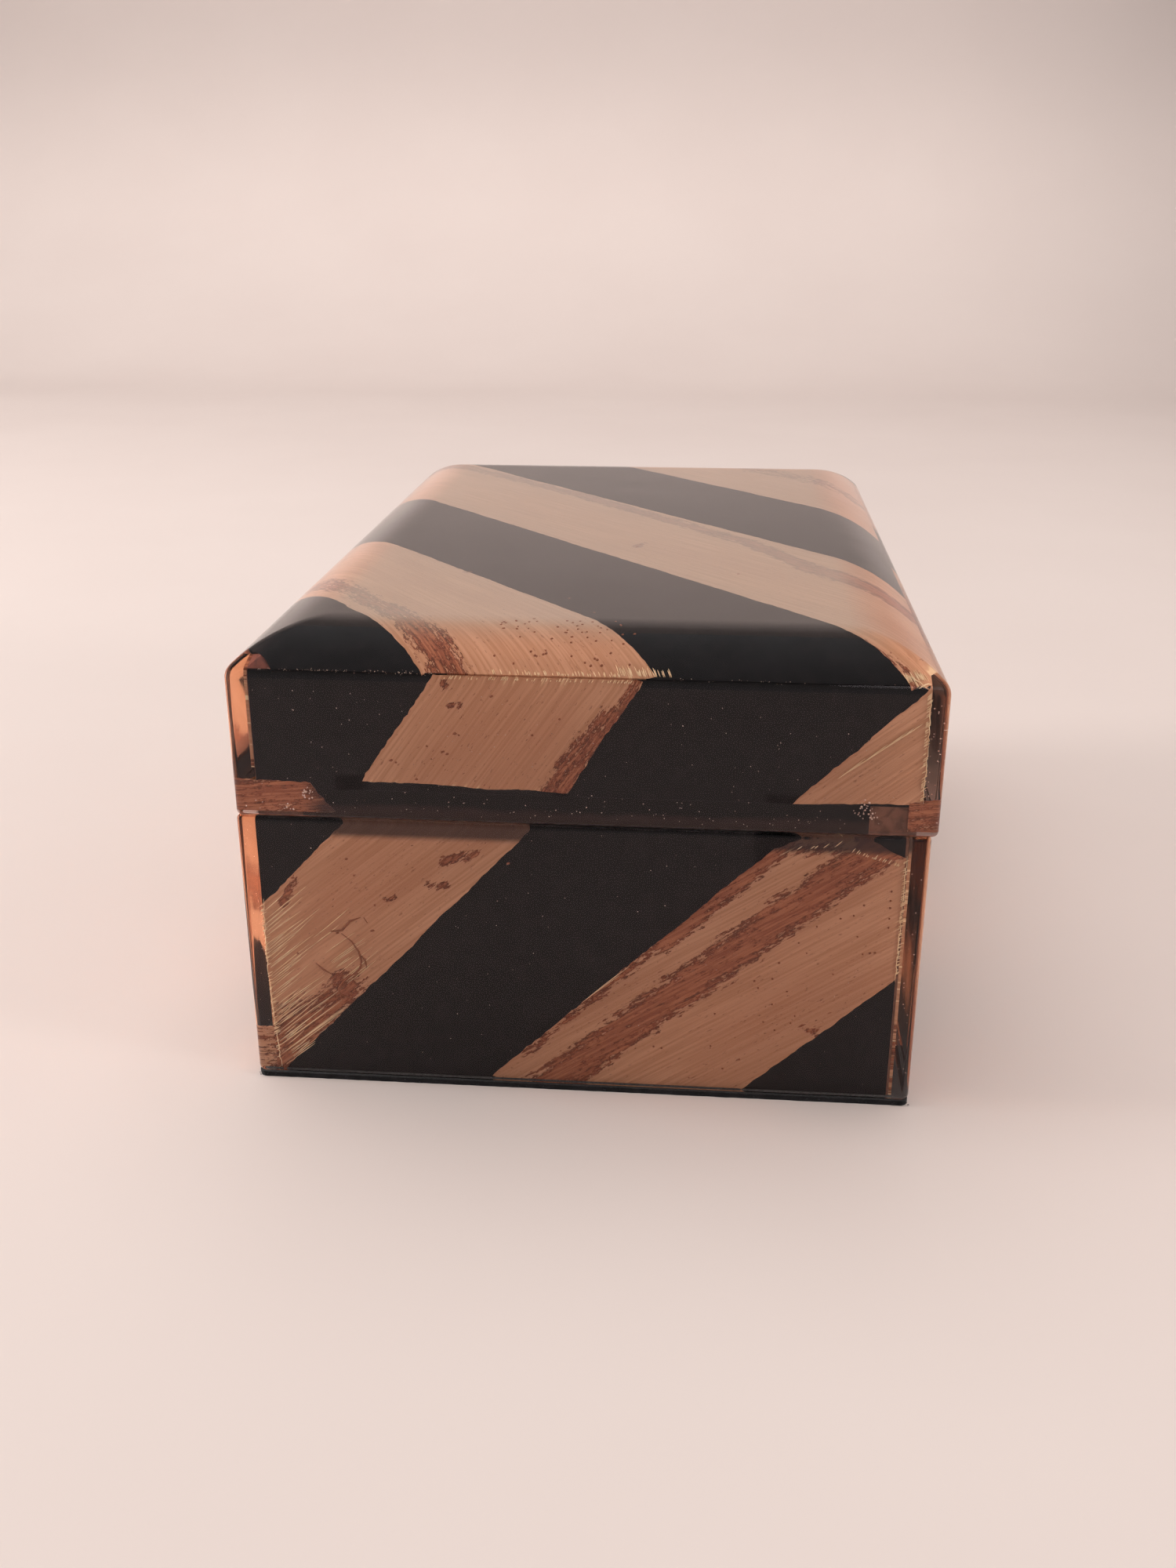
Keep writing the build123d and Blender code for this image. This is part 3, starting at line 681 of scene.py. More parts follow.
# A single crinkled thread also runs along these cut edges, from one spot to another.
crinkled = {
    "base_near_end": [((-48.3, 30.3), (-48.5, 17.0)), ((-48.4, 16.5), (-48.1, 8.0)),
                      ((-48.0, 7.6), (-47.6, 1.2)), ((46.6, 20.5), (46.7, 31.0)),
                      ((46.6, 31.2), (46.8, 40.8))],
    "lid_near_end": [((48.2, 49.2), (48.3, 58.0)), ((48.3, 58.2), (48.1, 65.4))],
    "lid_top": [((47.4, -75.6), (45.2, -74.6)), ((46.4, -75.7), (48.1, -75.0))],
}
for face, lines in frayed.items():
    threads = []
    for spots, count, angle, lengths, out in lines:
        threads.extend(loose_threads(spots, count, angle, lengths, out))
    for start, end in crinkled[face]:
        steps = max(3, round(math.dist(start, end) / 0.5))
        threads.append([(start[0] + (end[0] - start[0]) * step / steps + fray.uniform(-0.12, 0.12),
                         start[1] + (end[1] - start[1]) * step / steps + fray.uniform(-0.08, 0.08),
                         fray.uniform(0.0, 0.14)) for step in range(steps + 1)])
    piece = draw_strands(face + "_loose_fibres", threads, thread_thickness)
    place_face(piece, face)
    wear(piece, thread_bark)
    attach(piece, face.split("_")[0])

# Where insects fed, the bark is dull and red brown, in patches of about 0.7 mm.
trail_brown = two_toned("bark_marked_by_insects", {"Scale": 1500.0, "Detail": 3.0},
                        ("#74402b", "#a0654a"), {"Roughness": 0.7, "Specular IOR Level": 0.2})
trail_thickness = 0.36
trails = {
    "base_near_end": [
        [(-38.4, 25.1), (-36.5, 25.4), (-35.2, 27.0), (-33.5, 27.7)],
        [(-36.6, 24.9), (-35.1, 23.6), (-34.1, 21.9), (-33.8, 20.3), (-34.0, 19.2), (-34.8, 18.1),
         (-35.8, 17.7), (-36.8, 16.6), (-37.6, 15.5), (-37.5, 14.5), (-36.3, 14.0), (-35.2, 13.6)],
        [(-33.0, 27.7), (-32.5, 26.8)], [(-40.9, 19.7), (-39.8, 18.6), (-38.6, 17.9)],
        [(-34.1, 21.6), (-33.2, 20.6), (-33.0, 19.2)], [(-45.6, 30.2), (-44.8, 30.8), (-43.6, 31.0)],
    ],
    "lid_near_end": [[(4.6, 62.6), (5.4, 61.6), (6.2, 62.4), (5.8, 63.4)],
                     [(-5.4, 50.0), (-4.2, 50.4), (-3.6, 49.6)]],
}
specks = {
    "base_near_end": [(-35.1, 37.2, 0.3), (-34.1, 34.6, 0.25), (-31.8, 25.5, 0.4), (-29.7, 30.8, 0.25),
                      (-31.2, 29.8, 0.2), (-43.6, 21.2, 0.25), (-20.6, 38.1, 0.5), (-18.9, 38.3, 0.45),
                      (-17.2, 37.6, 0.4), (-21.3, 33.5, 0.45), (-23.1, 34.0, 0.3), (-10.9, 37.4, 0.35),
                      (29.4, 22.8, 0.25), (42.6, 25.0, 0.3), (43.3, 25.1, 0.25), (35.2, 11.4, 0.4),
                      (34.2, 11.8, 0.35), (11.0, 7.6, 0.2), (24.1, 6.0, 0.25), (27.5, 12.7, 0.2),
                      (25.9, 19.6, 0.25), (15.0, 13.1, 0.3), (-38.0, 25.2, 0.45), (-37.2, 24.9, 0.4)],
    "lid_near_end": [(-18.1, 57.7, 0.35), (-19.9, 54.9, 0.5), (-19.3, 54.6, 0.3), (-27.5, 53.4, 0.35),
                     (-26.8, 53.1, 0.2), (-18.9, 61.9, 0.45), (-18.1, 62.0, 0.3), (-17.3, 62.1, 0.2),
                     (-12.7, 63.4, 0.4), (-3.1, 60.3, 0.2), (-22.2, 55.7, 0.2), (-23.9, 50.6, 0.25),
                     (-7.0, 57.8, 0.25), (-0.4, 57.7, 0.25), (-17.5, 57.5, 0.15)],
    "lid_top": [(-22.0, -36.3, 0.6), (4.4, -15.0, 0.4), (4.9, -13.6, 0.35), (-8.0, -64.0, 0.3),
                (0.5, -60.0, 0.2), (-4.0, -52.0, 0.25), (22.0, -34.0, 0.3), (-12.0, -67.5, 0.3)],
}
speck_chance = random.Random(41)
for _ in range(60):
    specks["lid_top"].append((speck_chance.uniform(-13, 7), speck_chance.uniform(-74.5, -64.0),
                              speck_chance.uniform(0.1, 0.26)))
for _ in range(26):
    up = speck_chance.uniform(2, 36)
    specks["base_near_end"].append((min(up * 1.04 + speck_chance.uniform(3, 20), 45.0), up,
                                    speck_chance.uniform(0.1, 0.2)))
for face in specks:
    threads = [[(*place, 0.06) for place in trail] for trail in trails.get(face, [])]
    for x, y, size in specks[face]:
        tilt = speck_chance.uniform(0.2, 1.1)
        threads.append([(x - size * math.cos(tilt), y - size * math.sin(tilt) * 0.6, -0.06),
                        (x - size * 0.3, y, 0.02), (x + size * 0.3, y + size * 0.2, 0.02),
                        (x + size * math.cos(tilt), y + size * math.sin(tilt) * 0.6, -0.06)])
    piece = draw_strands(face + "_bark_marks", threads, trail_thickness)
    place_face(piece, face)
    wear(piece, trail_brown)
    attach(piece, face.split("_")[0])

# Scraps of brown bark fill the lid's lip at its near corners and the base's foot at the near left
# one: the face, the panel's corners, the lines it is trimmed along, how brown it is, and where
# along the face it turns dark.
scrap_spacing = 0.4
scrap_raggedness = 0.5
scrap_over_bark = 0.03
for face, low, high, lines, brown, dark_from in (
        ("lid_near_end", (-50.2, 45.0), (-35.5, 50.0),
         [((-40.9, 51.0), (-36.4, 45.0)), ((-51.0, 49.7), (-36.0, 49.4))], 0.9, -41.8),
        ("lid_hinge_side", (-75.0, 45.0), (-58.0, 48.5), [((-59.0, 49.0), (-58.6, 44.0))], 0.9, -66.0),
        ("lid_near_end", (46.4, 45.0), (50.2, 50.0), [((46.0, 49.2), (51.0, 49.6))], 0.8, 60.0),
        ("base_near_end", (-50.6, 1.0), (-48.3, 8.4), [((-51.0, 7.7), (-48.0, 8.0))], 0.45, 60.0)):
    corner = "left" if low[0] < 0 else "right"
    scrap = start_panel(f"{face}_scrap_{corner}", low, high, scrap_spacing)
    trim_piece(scrap, lines, scrap_raggedness)
    lay_fibres(scrap, 0.1, 33.0)
    mark_points(scrap, "brown", [(low, high, 6.0, brown)])
    darkening = scrap.data.attributes.new("rim", "FLOAT", "POINT")
    for point, darkening_here in zip(scrap.data.vertices, darkening.data):
        streak = 2.0 * noise.noise((point.co.x / MM / 3, point.co.y / MM / 0.5, 0))
        darkening_here.value = min(1.0, max(0.0, (point.co.x / MM - dark_from + streak) / 5.0))
    place_face(scrap, face, -scrap_over_bark)
    thicken(scrap, bark_thickness)
    wear(scrap, bark)
    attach(scrap, face.split("_")[0])


# ---- Black strips --------------------------------------------------------------------------------
# Strips of black card laid between the bark, their edges tucked a little under it, and black bands
# round the lid's bare lip. Card that is soaked with resin is dense black with a faint warm grain.
black_below_bark = 0.06
black_thickness = 0.4
tuck_under = 1.2
card_raggedness = 0.3
card_spacing = {"lid_top": 1.5}      # flat faces need a grid of only 3 mm
fill_spacing = {"lid_top": 0.9}

black_card = new_material("black_card_soaked_with_resin")
place = add_node(black_card, "TexCoord")
pulp = add_node(black_card, "TexNoise",
                {"Vector": place.outputs["Object"], "Scale": 420.0, "Detail": 3.0, "Roughness": 0.5})
pulp_share = add_node(black_card, "MapRange", {"Value": pulp, "From Min": 0.4, "From Max": 0.75},
                      interpolation_type="SMOOTHSTEP")
card_colour = add_node(black_card, "Mix", {FACTOR: pulp_share, UNDER: "#0b090a", OVER: "#130f10"},
                       data_type="RGBA")
pulp_relief = add_node(black_card, "Bump", {"Height": pulp, "Strength": 0.03, "Distance": 0.02 * MM})
surface = add_node(black_card, "BsdfPrincipled",
                   {"Base Color": card_colour, "Normal": pulp_relief, "Roughness": 0.6,
                    "Specular IOR Level": 0.15})
add_node(black_card, "OutputMaterial", {"Surface": surface})

# Card also fills the ends where a bark strip was trimmed short: low and high corners, in mm.
filled_ends = {
    "base_near_end": [((25.0, 37.0), (46.5, 43.75))],
    "lid_near_end": [((-36.0, 48.65), (-2.0, 51.0)), ((26.0, 48.65), (47.5, 50.0))],
    "lid_top": [((-25.0, -75.5), (-19.0, -71.0))],
}
for face in faces:
    body = face.split("_")[0]
    strips = []
    for left, right in strip_edges(face, "black"):
        strip = cut_strip(face, left, right, card_spacing.get(face, 3.0), tuck_under, 0.0)
        if strip is None:
            continue
        trim_piece(strip, corner_trims.get(face, {}).get(len(strips), []), card_raggedness)
        strips.append(strip)
    for low, high in filled_ends.get(face, []):
        strips.append(start_panel(face + "_fill", low, high, fill_spacing.get(face, 3.0)))
    piece = join_pieces(strips, face + "_black")
    for layer in list(piece.data.uv_layers):
        piece.data.uv_layers.remove(layer)
    place_face(piece, face, black_below_bark)
    thicken(piece, black_thickness)
    if face == "base_hinge_side":
        for tool in leaf_tools:
            subtract(piece, tool)
    bpy.ops.object.shade_smooth_by_angle(angle=strip_smoothing)
    wear(piece, black_card)
    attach(piece, body)
    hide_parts(face + "_black_strips")

# The bands in the lid's lip are the same card. Along the rim a paler brown-grey band is painted on:
# painted light, standing in for light refracted up through the resin's rounded rim edge.
lip_card = new_material("black_card_with_painted_light_at_the_rim")
place = add_node(lip_card, "TexCoord")
height = add_node(lip_card, "SeparateXYZ", {0: place.outputs["Object"]})
lip_noise = add_node(lip_card, "TexNoise",
                      {"Vector": place.outputs["Object"], "Scale": 160.0, "Detail": 4.0})
lit_band_wander = 1.6               # how far the painted band's upper edge wanders up and down
lit_band_end = 47.6                 # none of the painted band above this height, and all of it below the next
lit_band_full = 46.2
lit_band_line = add_node(lip_card, "Math", {0: lip_noise, 1: lit_band_wander * MM, 2: height.outputs["Z"]},
                     operation="MULTIPLY_ADD")
lit_band = add_node(lip_card, "MapRange",
                 {"Value": lit_band_line, "From Min": lit_band_end * MM, "From Max": lit_band_full * MM},
                 interpolation_type="SMOOTHSTEP")
# Painted light: the card turns a paler brown grey towards the rim.
lit_band_colour = add_node(lip_card, "Mix", {FACTOR: lit_band, UNDER: "#090606", OVER: "#2e1f1b"},
                        data_type="RGBA")
lip_relief = add_node(lip_card, "Bump", {"Height": lip_noise, "Strength": 0.2, "Distance": 0.02 * MM})
surface = add_node(lip_card, "BsdfPrincipled",
                   {"Base Color": lit_band_colour, "Normal": lip_relief, "Roughness": 0.6,
                    "Specular IOR Level": 0.15})
add_node(lip_card, "OutputMaterial", {"Surface": surface})
wear(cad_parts["lid_rim_bands"], lip_card)


# ---- Resin ---------------------------------------------------------------------------------------
# Clear amber polyester resin, cast over the strips, sawn through at the seam, then ground and
# polished. It is a closed body of glass that holds the strips and reaches just into the boards.
into_boards = 3.05
corner_rounding = 1.2
rim_rounding = 0.7
foot_rounding = 0.9
crease_rounding = 2.5
coat_foot = 0.8                 # the base's resin ends where the felt under it begins
near_edge = 0.1                 # how near an edge lies to the height that it is picked by
top_board_drop = 2.55           # how deep the lid's top board lies under the resin's face


def select_edges(wanted):
    """In edit mode, selects the edges for which wanted(start, end) is true, in mm."""
    bpy.ops.mesh.select_mode(type="EDGE")
    bpy.ops.mesh.select_all(action="DESELECT")
    mesh = bmesh.from_edit_mesh(bpy.context.object.data)
    for edge in mesh.edges:
        if wanted(edge.verts[0].co / MM, edge.verts[1].co / MM):
            edge.select = True
    bmesh.update_edit_mesh(bpy.context.object.data)


def bevel_edges(wanted, offset, segments):
    """In edit mode, rounds the edges for which wanted(start, end) is true."""
    select_edges(wanted)
    bpy.ops.mesh.bevel(offset=offset * MM, offset_type="OFFSET", segments=segments, profile=0.5,
                       affect="EDGES")


def start_block(name, low, high, corner_radius):
    """A block between two corners, in mm, with rounded upright edges, left in edit mode."""
    bpy.ops.object.select_all(action="DESELECT")
    middle = [(a + b) / 2 * MM for a, b in zip(low, high)]
    bpy.ops.mesh.primitive_cube_add(size=1, location=middle)
    piece = bpy.context.object
    piece.name = name
    piece.scale = [(b - a) * MM for a, b in zip(low, high)]
    bpy.ops.object.transform_apply(location=True, rotation=False, scale=True)
    bpy.ops.object.mode_set(mode="EDIT")
    if corner_radius:
        bevel_edges(lambda a, b: (a - b).xy.length < 0.01, corner_radius, 12)
    return piece


def draw_in_top(half, rise, old):
    """Extrudes the block's top face up by a rise and draws it in to new half sizes."""
    bpy.ops.mesh.extrude_region_move(TRANSFORM_OT_translate={"value": (0, 0, rise * MM)})
    bpy.ops.transform.resize(value=(half[0] / old[0], half[1] / old[1], 1),
                             center_override=(0, 0, 0))


def pillow_block(name, low_z, inset, drop, corner_radius, crease_radius):
    """The lid's form: upright sides, a rounded crease and slopes that curve in to a flat top. Its
    sides are set in by an inset and its top is lowered by a drop."""
    crease_steps = 6 if crease_radius else 0
    slope_steps = 12
    half = (lid_half[0] - inset, lid_half[1] - inset)
    radius = slope_radius - drop
    run = slope_run - inset
    crease_z = slope_centre_z + math.sqrt((radius - crease_radius) ** 2 - (run - crease_radius) ** 2)
    turn = math.atan2(crease_z - slope_centre_z, run - crease_radius)
    profile = []
    for step in range(1, crease_steps + 1):
        angle = turn * step / crease_steps
        profile.append((run - crease_radius + crease_radius * math.cos(angle),
                        crease_z + crease_radius * math.sin(angle)))
    for step in range(1, slope_steps + 1):
        angle = turn + (math.pi / 2 - turn) * step / slope_steps
        profile.append((radius * math.cos(angle), slope_centre_z + radius * math.sin(angle)))
    piece = start_block(name, (-half[0], -half[1], low_z), (half[0], half[1], crease_z), corner_radius)
    bpy.ops.mesh.select_mode(type="FACE")
    bpy.ops.mesh.select_all(action="DESELECT")
    mesh = bmesh.from_edit_mesh(piece.data)
    for face in mesh.faces:
        face.select = face.normal.z > 0.9
    bmesh.update_edit_mesh(piece.data)
    old, old_z = half, crease_z
    for over, z in profile:
        new = (lid_half[0] - slope_run + over, lid_half[1] - slope_run + over)
        draw_in_top(new, z - old_z, old)
        old, old_z = new, z
    # A last ring just inside the flat keeps its shading flat.
    draw_in_top((old[0] - 0.4, old[1] - 0.4), 0.0, old)
    return piece


def saw_bevel(up):
    """In edit mode, planes off the hinge side's rim edge so that the lid can lean back; up is 1 for
    the lid and -1 for the base."""
    lean = math.radians(48)     # half of the 95 degrees that the lid opens and 1 degree of play
    bpy.ops.mesh.select_all(action="SELECT")
    bpy.ops.mesh.bisect(plane_co=(axis_x * MM, 0, seam_z * MM),
                        plane_no=(-math.sin(lean), 0, -up * math.cos(lean)),
                        use_fill=True, clear_outer=True, threshold=0.001 * MM)


# Amber resin: clear, a little wavy from the polish and smeared by hands, and stained like weak tea.
# It tints things faintly over 20 mm and turns them brown orange over 80. Lamps shine through it.
amber = new_material("amber_polyester_resin_cast_and_polished")
place = add_node(amber, "TexCoord")
wave = add_node(amber, "TexNoise", {"Vector": place.outputs["Object"], "Scale": 60.0, "Detail": 1.0})
smear = add_node(amber, "TexNoise",
                 {"Vector": place.outputs["Object"], "Scale": 170.0, "Detail": 5.0, "Roughness": 0.6})
polish = add_node(amber, "MapRange",
                  {"Value": smear, "From Min": 0.35, "From Max": 0.75, "To Min": 0.03, "To Max": 0.1},
                  interpolation_type="SMOOTHSTEP")
# The rims at the saw cut were only sanded, and are matt.
level = add_node(amber, "SeparateXYZ", {0: place.outputs["Object"]})
sanded = add_node(amber, "Math", {0: level.outputs["Z"], 1: seam_z * MM, 2: (half_kerf + 0.02) * MM},
                  operation="COMPARE")
finish = add_node(amber, "Math", {0: sanded, 1: 0.4, 2: polish}, operation="MULTIPLY_ADD")
wavy = add_node(amber, "Bump", {"Height": wave, "Strength": 0.6, "Distance": 0.12 * MM})
surface = add_node(amber, "BsdfPrincipled",
                   {"Roughness": finish, "Normal": wavy, "Base Color": (1, 1, 1, 1),
                    "Transmission Weight": 1.0, "IOR": 1.47, "Specular Tint": "#c4babe"})
lamp_light = add_node(amber, "BsdfTransparent", {"Color": (0.92, 0.92, 0.92, 1)})
ray = add_node(amber, "LightPath")
shell = add_node(amber, "MixShader", {0: ray.outputs["Is Shadow Ray"], 1: surface, 2: lamp_light})
stain_depth = add_node(amber, "VolumeAbsorption", {"Color": "#e4c9b7", "Density": 36.0})
add_node(amber, "OutputMaterial", {"Surface": shell, "Volume": stain_depth})

coat_rim = seam_z - half_kerf
coat = start_block("base_resin", (base_sides[0], -base_half_depth, coat_foot),
                   (base_sides[1], base_half_depth, coat_rim), corner_rounding)
bevel_edges(lambda a, b: min(a.z, b.z) > coat_rim - near_edge, rim_rounding, 4)
bevel_edges(lambda a, b: max(a.z, b.z) < coat_foot + near_edge, foot_rounding, 4)
saw_bevel(-1)
bpy.ops.object.mode_set(mode="OBJECT")
# The forms that hollow out the two halves reach well past their rims.
inner = start_block("base_inner_form",
                    (base_sides[0] + into_boards, into_boards - base_half_depth, -5.0),
                    (base_sides[1] - into_boards, base_half_depth - into_boards, 50.0), 0)
bpy.ops.object.mode_set(mode="OBJECT")
shell_rim = seam_z + half_kerf
shell_form = pillow_block("lid_resin", shell_rim, 0.0, 0.0, corner_rounding, crease_rounding)
bevel_edges(lambda a, b: max(a.z, b.z) < shell_rim + near_edge, rim_rounding, 4)
saw_bevel(1)
bpy.ops.object.mode_set(mode="OBJECT")
lid_inner = pillow_block("lid_inner_form", 40.0, into_boards, top_board_drop, 0, 0)
bpy.ops.object.mode_set(mode="OBJECT")
for piece, form, body, node in ((coat, inner, "base", "base_resin_coat"),
                                (shell_form, lid_inner, "lid", "lid_resin_shell")):
    subtract(piece, form)
    for tool in hinge_tools:
        subtract(piece, tool)
    bpy.ops.object.shade_smooth_by_angle(angle=math.radians(30))
    wear(piece, amber)
    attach(piece, body)
    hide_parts(node)
    bpy.data.objects.remove(form)
for tool in hinge_tools:
    bpy.data.objects.remove(tool)


# ---- Crumbs and bubbles --------------------------------------------------------------------------
# Crumbs of bark and dust that the resin caught as it was poured, thickest along the lid's near
# crease, and air bubbles in the clear resin of the corners and the lip.
chance = random.Random(5)
bpy.ops.object.select_all(action="DESELECT")
bpy.ops.mesh.primitive_ico_sphere_add(subdivisions=1, radius=1.0)
grain = bpy.context.object


def scatter(name, places, stretch):
    """One mesh of many small grains; each place is x, y, z and a radius in mm."""
    grains = []
    for x, y, z, radius in places:
        copy = bpy.data.objects.new(name, grain.data.copy())
        bpy.context.scene.collection.objects.link(copy)
        sizes = [radius * MM * chance.uniform(1 / stretch, stretch) for _ in range(3)]
        turn = Euler([chance.uniform(0, 6.28) for _ in range(3)]).to_matrix().to_4x4()
        copy.data.transform(Matrix.Translation([c * MM for c in (x, y, z)]) @ turn
                            @ Matrix.Diagonal((*sizes, 1)))
        grains.append(copy)
    return join_pieces(grains, name)


def add_grain(places, across, along, up, radius):
    """Adds one grain to a list of places, drawn evenly between bounds in mm."""
    places.append([chance.uniform(*bounds) for bounds in (across, along, up, radius)])


near_crease_z = 66.2            # height of the lid's near crease, just under the resin
crumbs = {"lid": [], "base": []}
for _ in range(110):
    crumbs["lid"].append((chance.uniform(-46, -20), chance.uniform(-75.9, -75.6),
                          near_crease_z + chance.gauss(0, 0.1), chance.uniform(0.02, 0.055)))
for _ in range(26):
    crumbs["lid"].append((chance.uniform(12, 47), chance.uniform(-75.9, -75.6),
                          near_crease_z + chance.gauss(0, 0.15), chance.uniform(0.02, 0.05)))
for _ in range(150):
    add_grain(crumbs["lid"], (-47, 47), (-77.6, -75.6), (45.3, 64.0), (0.03, 0.07))
    add_grain(crumbs["base"], (-47, 46), (-77.1, -75.1), (2.0, 43.5), (0.03, 0.065))
for _ in range(60):
    away = chance.uniform(-70, 70)
    crumbs["lid"].append((chance.choice((-1, 1)) * chance.uniform(48.4, 50.3), away,
                          chance.uniform(46, 63), chance.uniform(0.03, 0.07)))
    crumbs["base"].append((chance.choice((base_sides[0] + 1.2, base_sides[1] - 1.2)), away,
                           chance.uniform(3, 42), chance.uniform(0.03, 0.07)))
# Crumbs of bark run from dull brown to pale tan.
bark_dust = two_toned("bark_crumbs_and_dust", {"Scale": 700.0, "Detail": 2.0},
                      ("#7a5e52", "#cdb5a4"), {"Roughness": 0.6}, spread=(0.35, 0.65))
for body, places in crumbs.items():
    piece = scatter(body + "_crumbs", places, 1.6)
    wear(piece, bark_dust)
    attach(piece, body)

bubbles = {"lid": [], "base": []}
for middle, count, spread in (((-40.2, 48.0), 26, 0.45), ((39.8, 48.2), 26, 0.8), ((41.4, 47.2), 10, 0.3),
                              ((-47.5, 46.0), 4, 0.5), ((-42.8, 45.9), 5, 0.4)):
    for _ in range(count):
        bubbles["lid"].append((chance.gauss(middle[0], spread), chance.uniform(-76.6, -75.4),
                               chance.gauss(middle[1], spread), chance.uniform(0.06, 0.17)))
for _ in range(70):
    bubbles["lid"].append((chance.uniform(-38, 38), chance.uniform(-77.4, -75.2),
                           chance.triangular(45.0, 49.5, 45.6), chance.uniform(0.04, 0.09)))
for _ in range(26):
    add_grain(bubbles["lid"], (48.4, 50.2), (-77.2, -74.0), (46, 64), (0.05, 0.1))
    add_grain(bubbles["base"], (47.3, 49.3), (-76.8, -74.0), (4, 42), (0.05, 0.1))
    add_grain(bubbles["base"], (-50.2, -48.6), (-76.8, -74.5), (3, 43), (0.04, 0.07))
# A bubble is a small bright ring of mirrored light; a pale glossy bead gives the same to the eye.
bubble_air = two_toned("air_bubble_in_resin", {"Scale": 1200.0, "Detail": 1.0},
                       ("#b07a66", "#f6e2d4"), {"Roughness": 0.1})
for body, places in bubbles.items():
    piece = scatter(body + "_bubbles", places, 1.15)
    bpy.ops.object.shade_smooth()
    wear(piece, bubble_air)
    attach(piece, body)
bpy.data.objects.remove(grain)


# ---- Hinges --------------------------------------------------------------------------------------
# Two small brass butt hinges let into the rims of the long side, each leaf held by two slotted
# countersunk screws. They are the CAD's own solids, in brass that has dulled to a brown gold.
brass = new_material("brass_drawn_and_tarnished")
place = add_node(brass, "TexCoord")
tarnish = add_node(brass, "TexNoise",
                   {"Vector": place.outputs["Object"], "Scale": 700.0, "Detail": 5.0,
                    "Roughness": 0.65})
tarnish_share = add_node(brass, "MapRange", {"Value": tarnish, "From Min": 0.4, "From Max": 0.7},
                         interpolation_type="SMOOTHSTEP")
brass_colour = add_node(brass, "Mix", {FACTOR: tarnish_share, UNDER: "#d8b268", OVER: "#8f6a35"},
                        data_type="RGBA")
draw_place = add_node(brass, "Mapping", {"Vector": place.outputs["Object"], "Scale": (9000, 300, 9000)})
draw_lines = add_node(brass, "TexNoise", {"Vector": draw_place, "Scale": 1.0, "Detail": 2.0})
brass_rough = add_node(brass, "MapRange", {"Value": tarnish, "To Min": 0.22, "To Max": 0.5})
draw_relief = add_node(brass, "Bump", {"Height": draw_lines, "Strength": 0.4, "Distance": 0.01 * MM})
surface = add_node(brass, "BsdfPrincipled",
                   {"Base Color": brass_colour, "Roughness": brass_rough, "Normal": draw_relief,
                    "Metallic": 1.0})
add_node(brass, "OutputMaterial", {"Surface": surface})
for name in ("near_hinge_base_leaf", "near_hinge_lid_leaf", "near_hinge_pin", "far_hinge_base_leaf",
             "far_hinge_lid_leaf", "far_hinge_pin", "base_hinge_screws", "lid_hinge_screws"):
    wear(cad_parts[name], brass)


# ---- Felt ----------------------------------------------------------------------------------------
# Black wool felt, 1 mm thick inside the box and 0.8 mm under it, cut to size and glued down.
felt_black = new_material("black_wool_felt_pressed")
place = add_node(felt_black, "TexCoord")
# Wool fibres are 0.03 mm thick; they are drawn as clumps of 0.3 mm, so that they show.
wool = add_node(felt_black, "TexNoise",
                {"Vector": place.outputs["Object"], "Scale": 3200.0, "Detail": 4.0, "Roughness": 0.7})
lint = add_node(felt_black, "TexNoise",
                {"Vector": place.outputs["Object"], "Scale": 260.0, "Detail": 3.0})
lint_share = add_node(felt_black, "MapRange", {"Value": lint, "From Min": 0.35, "From Max": 0.7},
                      interpolation_type="SMOOTHSTEP")
felt_colour = add_node(felt_black, "Mix", {FACTOR: lint_share, UNDER: "#0e0c0d", OVER: "#1b1719"},
                       data_type="RGBA")
felt_relief = add_node(felt_black, "Bump", {"Height": wool, "Strength": 0.9, "Distance": 0.15 * MM})
surface = add_node(felt_black, "BsdfPrincipled",
                   {"Base Color": felt_colour, "Normal": felt_relief, "Roughness": 0.95,
                    "Specular IOR Level": 0.1, "Sheen Weight": 0.2, "Sheen Roughness": 0.5})
add_node(felt_black, "OutputMaterial", {"Surface": surface})

# Tufts of wool stick out round the foot of the box, most at its near corners.
felt_inset = 0.1                # how far the felt underneath stays inside the resin's sides
foot_y = felt_inset - base_half_depth
tuft_chance = random.Random(12)
tuft_thickness = 0.14
tufts = []
for corner_x, reach, count in ((49.0, 1.6, 16), (-49.4, 1.6, 7), (0.0, 46.0, 26)):
    for _ in range(count):
        x = corner_x + tuft_chance.uniform(-reach, reach)
        x = min(max(x, base_sides[0] + 0.2), base_sides[1] - 0.2)
        length = tuft_chance.uniform(0.15, 0.55) * (1.0 if corner_x else 0.6)
        sway = tuft_chance.uniform(-0.5, 0.5)
        height = tuft_chance.uniform(0.1, 0.5)
        tufts.append([(x, foot_y + 0.2, height), (x + sway * 0.3, foot_y - length * 0.4, height + 0.1),
                      (x + sway * 0.7, foot_y - length * 0.5, height + 0.25 * tuft_chance.random()),
                      (x + sway, foot_y - length * 0.55, height + 0.1)])
for _ in range(10):
    side = tuft_chance.choice(base_sides)
    y = tuft_chance.uniform(-77.0, -60.0)
    away = math.copysign(tuft_chance.uniform(0.1, 0.4), side)
    height = tuft_chance.uniform(0.1, 0.5)
    tufts.append([(side - away, y, height), (side + away * 0.4, y - 0.2, height + 0.1),
                  (side + away, y - 0.3, height)])
fluff = draw_strands("underside_felt_fluff", tufts, tuft_thickness)
wear(fluff, felt_black)
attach(fluff, "base")

